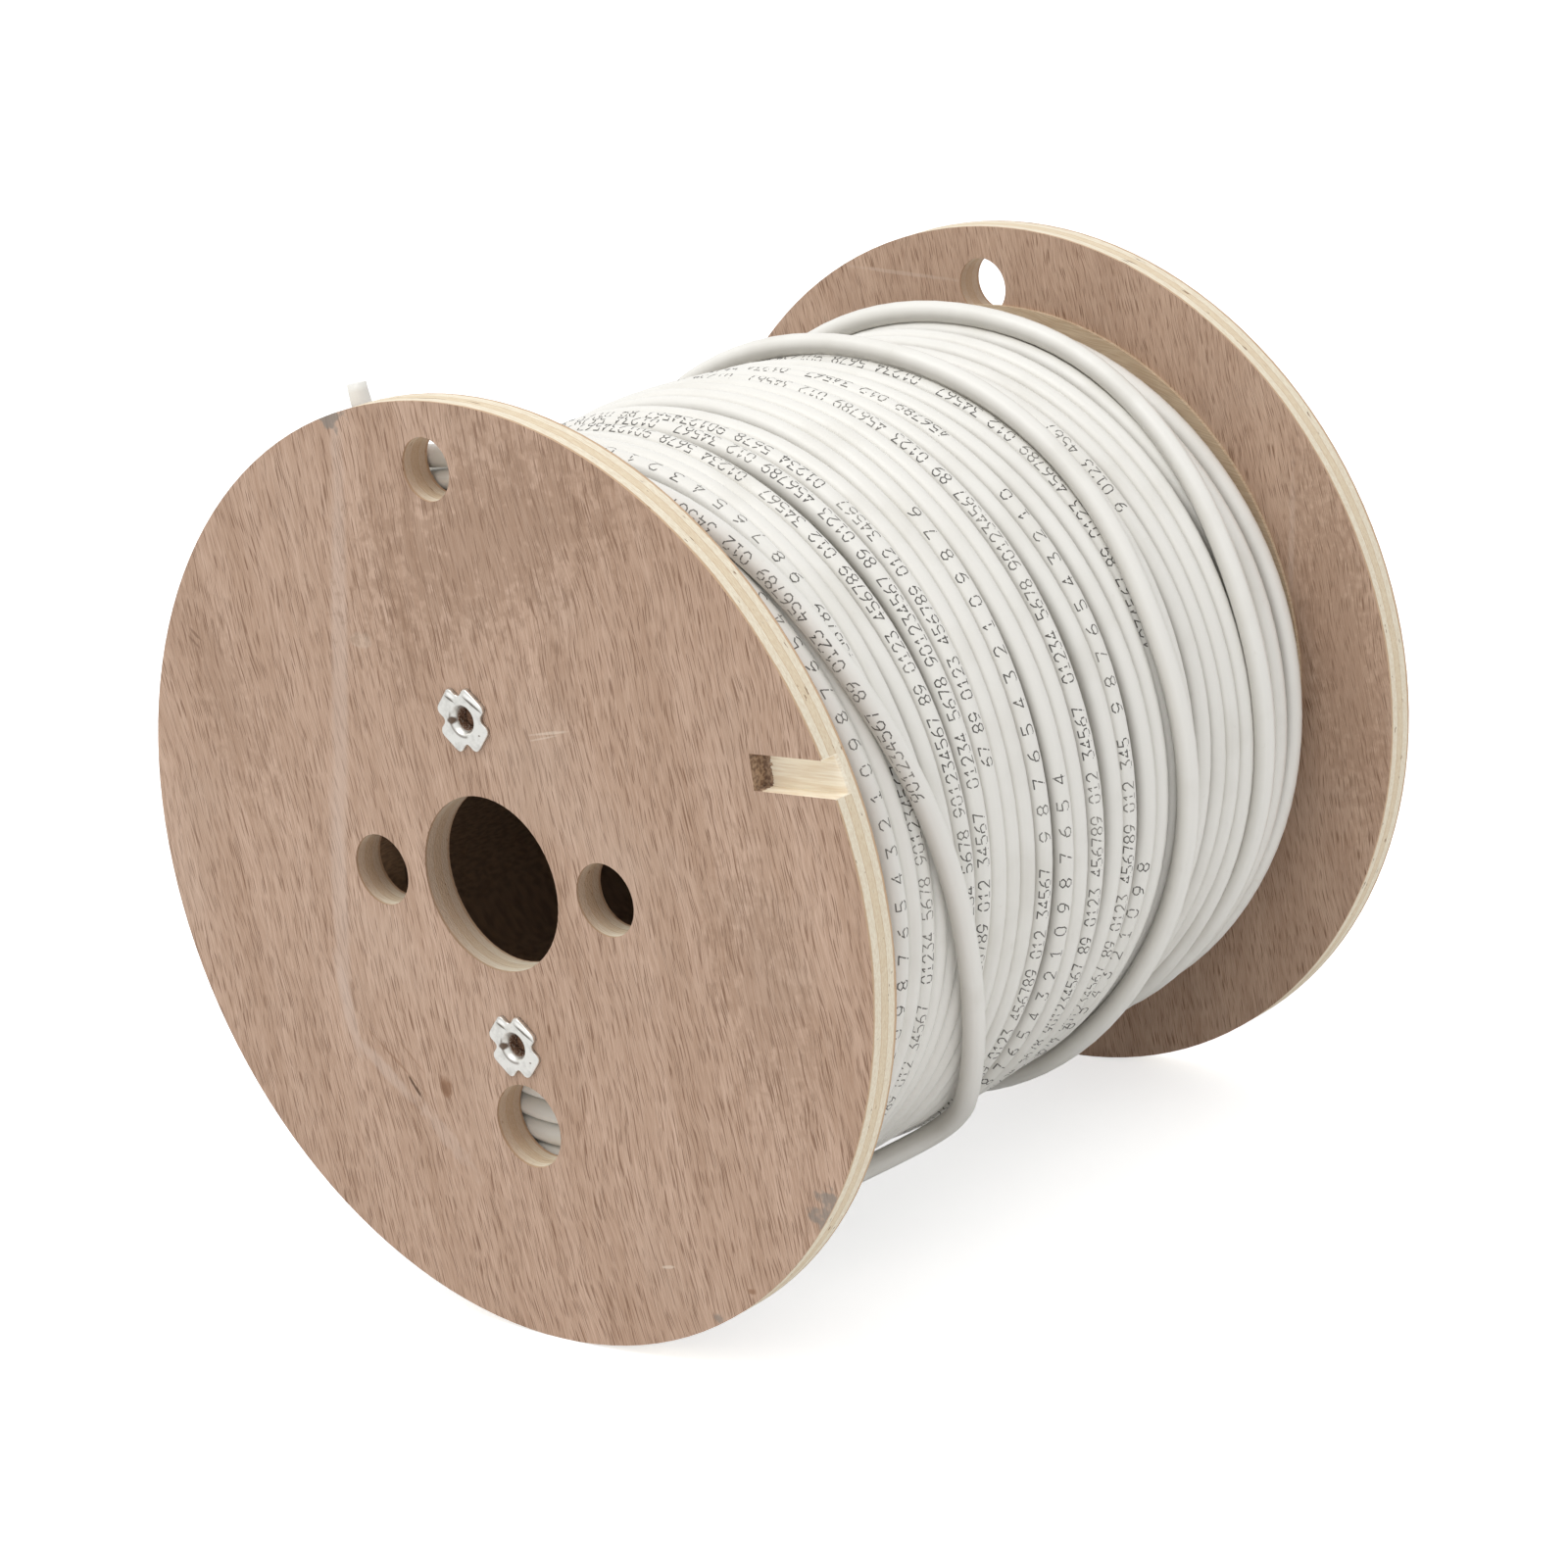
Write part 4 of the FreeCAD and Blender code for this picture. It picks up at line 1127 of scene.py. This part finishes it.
# %% Zinc plate
def make_zinc(name, oily):
    material, tree, shader = new_material(name)
    place = millimetres(tree)
    cloudy = use(tree, soiling, {"Place": place, "Size": 2.4, "Cover": 0.55})["Mask"]
    spots = use(tree, soiling, {"Place": place, "Size": 1.3, "Cover": 0.12})["Mask"]
    metal = blend(tree, cloudy, paint(226, 225, 219), paint(206, 205, 199))
    metal = blend(tree, calc(tree, "MULTIPLY", spots, 0.55), metal, paint(150, 146, 138))
    parts = put(tree, "ShaderNodeSeparateXYZ", {"Vector": place}).outputs
    if oily:
        inner = calc(tree, "LESS_THAN", parts["Y"], NEAR_FACE / MM + 8)
        threads = put(tree, "ShaderNodeTexNoise", {"Vector": place, "Scale": 1.6, "Detail": 3}).outputs["Fac"]
        thread_share = ramp(tree, threads, [(0.4, 0.0), (0.7, 1.0)])
        dark = blend(tree, thread_share, paint(98, 70, 52), paint(150, 112, 86))
        metal = blend(tree, inner, metal, dark)
        tree.links.new(calc(tree, "SUBTRACT", 1, inner), shader["Metallic"])
    else:
        shader["Metallic"].default_value = 0.92
    tree.links.new(metal, shader["Base Color"])
    dulled = calc(tree, "MULTIPLY", inner, 0.5) if oily else 0.0
    gloss = calc(tree, "ADD", 0.34, calc(tree, "MULTIPLY", cloudy, 0.14))
    tree.links.new(calc(tree, "ADD", gloss, dulled), shader["Roughness"])
    add_bump(tree, shader, cloudy, 0.25, 0.0001)
    return material


zinc = make_zinc("zinc_plate", False)
bolt_zinc = make_zinc("zinc_bolt", True)
for name in ("washer_upper", "washer_lower"):
    finish_node(name, zinc)
for name in ("bolt_upper", "bolt_lower"):
    finish_node(name, bolt_zinc)

# %% [markdown]
# ## Tee nuts
#
# A tee nut is pressed from sheet: a round plate with four notches, where the prongs were folded
# out of it, and a threaded barrel drawn from its middle. The press leaves a funnel at the mouth
# and turns up the plate's edge where a prong tore away. The CAD solid keeps to plain forms, so
# each nut is made again here from rings and spokes and stands in for its CAD node. Depths are in
# millimetres behind the flange's face.

# %% Shape of a tee nut
SPOKES = 144
NOTCH_TURN = 3.5
OUTLINE = [(0, 6.8), (5, 6.95), (10, 7.7), (14, 8.7), (18, 9.2), (23, 9.4), (29, 9.2), (37, 8.95), (45, 8.85)]
MOUTH = [(3.2, 8.0), (3.2, 3.0)]
MOUTH += [(3.2 + 0.22 * (k % 2), 2.8 - 0.25 * k) for k in range(7)]
MOUTH += [(3.25, 1.0), (3.4, 0.5), (3.65, -0.05), (3.95, -0.5), (4.2, -0.85), (4.45, -1.02), (4.8, -1.05)]
PLATE_FRONT = -1.05


def turned_up(u, v):
    """How far the plate's edge stands up at a place on its face."""
    out, aside = (u + v) / math.sqrt(2), (u - v) / math.sqrt(2)
    corner = np.clip((out - 7.05 - 0.22 * aside) / 0.5, 0, 1) * np.clip((4.6 - abs(aside)) / 0.8, 0, 1)
    beyond = 0.471 * (u + 5) + 0.882 * (v - 6.9)
    short = np.clip(beyond / 0.5, 0, 1) * np.clip((1.9 - abs(u + 2.9)) / 0.5, 0, 1)
    return 0.45 * np.maximum(corner, 0.8 * short)


spoke_angles = np.arange(SPOKES) * 360 / SPOKES
from_notch = np.abs((spoke_angles - NOTCH_TURN + 45) % 90 - 45)
plate_edge = np.interp(from_notch, *zip(*OUTLINE))
spoke_u, spoke_v = np.cos(np.radians(spoke_angles)), np.sin(np.radians(spoke_angles))
same = np.ones(SPOKES)
nut_rings = [(radius * same, depth * same) for radius, depth in MOUTH]
for share in np.linspace(0.08, 1, 16):
    reach = 4.8 + (plate_edge - 5.1) * share
    nut_rings.append((reach, PLATE_FRONT - turned_up(reach * spoke_u, reach * spoke_v)))
edge_lift = turned_up(plate_edge * spoke_u, plate_edge * spoke_v)
nut_rings.append((plate_edge - 0.08, PLATE_FRONT - edge_lift + 0.08))
nut_rings.append((plate_edge, PLATE_FRONT - edge_lift + 0.35))
nut_rings.append((plate_edge, -0.02 * same))
nut_rings += [(4.0 * same, -0.02 * same), (4.0 * same, 8.0 * same)]
nut_points = []
for reaches, depths in nut_rings:
    nut_points += [(r * u, d, r * v) for r, d, u, v in zip(reaches, depths, spoke_u, spoke_v)]
nut_faces = []
for k in range(len(nut_rings)):
    inner, outer = k * SPOKES, (k + 1) % len(nut_rings) * SPOKES
    for j in range(SPOKES):
        after = (j + 1) % SPOKES
        nut_faces.append((inner + j, outer + j, outer + after, inner + after))
PRONG_ENDS = ((-0.5, 2.2), (6.5, 0.3))
for k in range(4):
    prong_turn = math.radians(NOTCH_TURN + 90 * k)
    along = Vector((math.cos(prong_turn), 0, math.sin(prong_turn)))
    aside = Vector((-along.z, 0, along.x))
    first = len(nut_points)
    for depth, half in PRONG_ENDS:
        for out, way in ((5.7, -half), (6.6, -half), (6.6, half), (5.7, half)):
            nut_points.append(tuple(along * out + aside * way + Vector((0, depth, 0))))
    for quad in ((0, 1, 2, 3), (7, 6, 5, 4), (0, 4, 5, 1), (1, 5, 6, 2), (2, 6, 7, 3), (3, 7, 4, 0)):
        nut_faces.append(tuple(first + corner for corner in quad))
print("tee nut: %d faces" % len(nut_faces))

# %% Zinc of the tee nuts
pressed_zinc, tree, shader = new_material("pressed_zinc")
place = millimetres(tree)
parts = put(tree, "ShaderNodeSeparateXYZ", {"Vector": place}).outputs
cloudy = use(tree, soiling, {"Place": place, "Size": 2.4, "Cover": 0.55})["Mask"]
spots = use(tree, soiling, {"Place": place, "Size": 1.3, "Cover": 0.12})["Mask"]
metal = blend(tree, cloudy, paint(228, 227, 222), paint(210, 209, 204))
metal = blend(tree, calc(tree, "MULTIPLY", spots, 0.5), metal, paint(150, 146, 138))
# painted light on the nut: the first two are painted highlights on the turned-up edges, the next two painted
# shade along the folds inside them; the brown patch on the funnel's left is dirt with a painted dark
# reflection; the last is a small dark spot
nut_highlights_shade_marks = [
    ((5.62, -1, 5.62), (0.9, 4, 4.6), 57, 0.1, 0.9, paint(255, 255, 252)),
    ((-2.9, -1, 6.9), (0.9, 4, 1.8), 62, 0.1, 0.9, paint(255, 255, 252)),
    ((4.68, -1, 4.68), (0.42, 4, 4.6), 57, 0.1, 0.9, paint(104, 96, 88)),
    ((-3.7, -1, 5.75), (0.4, 4, 2.3), 62, 0.1, 0.9, paint(104, 96, 88)),
    ((-4.1, -1, -0.3), (1.7, 4, 1.1), 0, 0.5, 0.95, paint(92, 70, 54)),
    ((5.7, -1, -3.9), (0.4, 4, 0.3), 0, 0.4, 0.8, paint(110, 96, 84)),
]
metal = add_marks(tree, place, metal, nut_highlights_shade_marks)
flat_place = scaled(tree, place, (1, 0, 1))
from_centre = length_of(tree, flat_place)
# painted shade: a dark ring round the rounded lip of the mouth, on its lower-left side, away from the light
LOWER_LEFT = (-0.766, 0, -0.643)
lower_left = put(tree, "ShaderNodeVectorMath", {0: flat_place, 1: LOWER_LEFT}, operation="DOT_PRODUCT")
toward = calc(tree, "SUBTRACT", calc(tree, "DIVIDE", lower_left.outputs["Value"], from_centre), 0.34)
off_ring = calc(tree, "ABSOLUTE", calc(tree, "SUBTRACT", from_centre, 4.65))
mouth_ring_shade = calc(tree, "SUBTRACT", 1, calc(tree, "DIVIDE", off_ring, 0.55), clamp=True)
mouth_ring_shade = calc(tree, "MULTIPLY", mouth_ring_shade, calc(tree, "MULTIPLY", toward, 5, clamp=True))
metal = blend(tree, calc(tree, "MULTIPLY", mouth_ring_shade, 0.8), metal, paint(112, 100, 90))
in_bore = calc(tree, "MULTIPLY", calc(tree, "SUBTRACT", parts["Y"], 0.3), 1.6, clamp=True)
grease = put(tree, "ShaderNodeTexNoise", {"Vector": place, "Scale": 2.2, "Detail": 2}).outputs["Fac"]
browns = blend(tree, ramp(tree, grease, [(0.4, 0.0), (0.6, 1.0)]), paint(98, 70, 52), paint(150, 112, 86))
browns = blend(tree, ramp(tree, grease, [(0.58, 0.0), (0.64, 1.0)]), browns, paint(190, 184, 174))
tree.links.new(blend(tree, in_bore, metal, browns), shader["Base Color"])
tree.links.new(calc(tree, "SUBTRACT", 0.92, in_bore, clamp=True), shader["Metallic"])
dull = calc(tree, "ADD", calc(tree, "MULTIPLY", cloudy, 0.14), calc(tree, "MULTIPLY", in_bore, 0.5))
tree.links.new(calc(tree, "ADD", 0.34, dull, clamp=True), shader["Roughness"])
add_bump(tree, shader, cloudy, 0.25, 0.0001)

# %% Place the tee nuts
for name in ("tee_nut_upper", "tee_nut_lower"):
    low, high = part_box(name)
    nut_mesh = bpy.data.meshes.new("pressed_" + name)
    nut_mesh.from_pydata([tuple(c * MM for c in point) for point in nut_points], [], nut_faces)
    nut_mesh.polygons.foreach_set("use_smooth", [k < len(nut_rings) * SPOKES for k in range(len(nut_faces))])
    nut_mesh.materials.append(pressed_zinc)
    nut = bpy.data.objects.new("pressed_" + name, nut_mesh)
    nut.location = ((low[0] + high[0]) / 2, NEAR_FACE, (low[2] + high[2]) / 2)
    scene.collection.objects.link(nut)
    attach(nut, "root")
    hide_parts(name)
print("bores dark, plates bright")

# %% [markdown]
# ## Cable jacket
#
# White vinyl, with the satin sheen of an extruded jacket. It has picked up a little dust from
# the wood, and the flanks of the turns, down in the valleys between them, get painted shade.

# %% Jacket material
jacket, tree, shader = new_material("cable_jacket")
place = millimetres(tree)
dusty = use(tree, soiling, {"Place": place, "Size": 24.0, "Cover": 0.45})["Mask"]
specks = use(tree, soiling, {"Place": place, "Size": 3.0, "Cover": 0.14})["Mask"]
vinyl = blend(tree, calc(tree, "MULTIPLY", dusty, 0.5), paint(238, 236, 230), paint(224, 221, 213))
vinyl = blend(tree, calc(tree, "MULTIPLY", specks, 0.25), vinyl, paint(196, 186, 172))
# painted shade: the flanks of the turns, in the valleys between them, are painted darker
WINDING_REACH = 121
outwards = scaled(tree, place, (1, 0, 1))
from_axis = length_of(tree, outwards)
surface_way = put(tree, "ShaderNodeNewGeometry").outputs["Normal"]
along_out = put(tree, "ShaderNodeVectorMath", {0: outwards, 1: surface_way}, operation="DOT_PRODUCT")
crest = calc(tree, "DIVIDE", along_out.outputs["Value"], from_axis)
painted_flank_shade = calc(tree, "DIVIDE", calc(tree, "SUBTRACT", 0.7, crest), 0.8, clamp=True)
in_winding = calc(tree, "DIVIDE", calc(tree, "SUBTRACT", WINDING_REACH, from_axis), 3, clamp=True)
painted_flank_shade = calc(tree, "MULTIPLY", painted_flank_shade, in_winding)
vinyl = blend(tree, calc(tree, "MULTIPLY", painted_flank_shade, 0.42), vinyl, paint(176, 171, 161))
tree.links.new(vinyl, shader["Base Color"])
tree.links.new(calc(tree, "ADD", 0.4, calc(tree, "MULTIPLY", dusty, 0.18)), shader["Roughness"])
orange_peel = put(tree, "ShaderNodeTexNoise", {"Vector": place, "Scale": 0.9, "Detail": 2}).outputs["Fac"]
add_bump(tree, shader, orange_peel, 0.12, 0.0002)
wound_cable.data.materials.append(jacket)

# %% Ink
ink, tree, shader = new_material("ink")
place = millimetres(tree)
worn = use(tree, soiling, {"Place": place, "Size": 1.1, "Cover": 0.5})["Mask"]
faded = use(tree, soiling, {"Place": place, "Size": 20.0, "Cover": 0.55})["Mask"]
fresh = blend(tree, worn, paint(82, 79, 75), paint(120, 117, 111))
shade = blend(tree, calc(tree, "MULTIPLY", faded, 0.8), fresh, paint(158, 155, 148))
tree.links.new(shade, shader["Base Color"])
tree.links.new(calc(tree, "ADD", 0.45, calc(tree, "MULTIPLY", worn, 0.2)), shader["Roughness"])
cable_figures.data.materials.append(ink)

# %% [markdown]
# ## Floor and background
#
# The reel stands on a white floor with no visible end. The floor is plain and matt for every ray
# that lights the reel. For rays that come from the camera, or from a glossy surface, it also
# glows a little, which lifts it to white but keeps the reel's soft shadow.

# %% Floor
FLOOR_REACH = 6.0
floor_mesh = bpy.data.meshes.new("floor")
corners = [(x * FLOOR_REACH, y * FLOOR_REACH, 0) for x, y in ((-1, -1), (1, -1), (1, 1), (-1, 1))]
floor_mesh.from_pydata(corners, [], [(0, 1, 2, 3)])
floor = bpy.data.objects.new("floor", floor_mesh)
floor.location = (0, 0, FLOOR)
scene.collection.objects.link(floor)


def seen_directly(tree, in_gloss=1.0):
    """1 for rays from the camera, and in_gloss for rays from a gloss or a glass."""
    rays = put(tree, "ShaderNodeLightPath").outputs
    mirrored = calc(tree, "MAXIMUM", rays["Is Glossy Ray"], rays["Is Transmission Ray"])
    return calc(tree, "MAXIMUM", rays["Is Camera Ray"], calc(tree, "MULTIPLY", mirrored, in_gloss))


floor_paint, tree, shader = new_material("floor_paint")
place = millimetres(tree)
fleck = put(tree, "ShaderNodeTexNoise", {"Vector": place, "Scale": 0.02, "Detail": 3}).outputs["Fac"]
tree.links.new(blend(tree, fleck, (0.84, 0.84, 0.84, 1), (0.88, 0.88, 0.88, 1)), shader["Base Color"])
shader["Roughness"].default_value = 0.9
shader["Specular IOR Level"].default_value = 0.1
glow = calc(tree, "MULTIPLY", seen_directly(tree, 0.1), 0.62)
grey_glow = put(tree, "ShaderNodeCombineColor", {"Red": glow, "Green": glow, "Blue": glow})
tree.links.new(grey_glow.outputs[0], shader["Emission Color"])
shader["Emission Strength"].default_value = 1
floor.data.materials.append(floor_paint)
print("floor %.0f m across" % (2 * FLOOR_REACH))

# %% [markdown]
# ## Light
#
# Soft light from everywhere, as in a light tent, with one wide lamp above and to the left that
# gives the winding its shading. Behind the floor the surround is white to the camera too.

# %% Lights
SURROUND_STRENGTH = 0.76
LAMP_SIZE = 1.6
LAMP_POWER = 20
world = bpy.data.worlds.new("surround")
scene.world = world
world.use_nodes = True
tree = world.node_tree
even = tree.nodes["Background"]
even.inputs["Color"].default_value = (1, 1, 1, 1)
even.inputs["Strength"].default_value = SURROUND_STRENGTH
white = put(tree, "ShaderNodeBackground", {"Color": (1, 1, 1, 1), "Strength": 1})
either = put(tree, "ShaderNodeMixShader", {"Fac": seen_directly(tree)})
tree.links.new(even.outputs[0], either.inputs[1])
tree.links.new(white.outputs[0], either.inputs[2])
tree.links.new(either.outputs[0], tree.nodes["World Output"].inputs["Surface"])

lamp_data = bpy.data.lights.new("wide_lamp", "AREA")
lamp_data.shape = "DISK"
lamp_data.size = LAMP_SIZE
lamp_data.energy = LAMP_POWER
lamp = bpy.data.objects.new("wide_lamp", lamp_data)
lamp.location = (-0.1, -0.9, 2.0)
lamp.rotation_euler = (-lamp.location).to_track_quat("-Z", "Y").to_euler()
scene.collection.objects.link(lamp)
scene.view_settings.view_transform = "Standard"
print("lamp %.1f m across, %.0f W" % (lamp_data.size, lamp_data.energy))
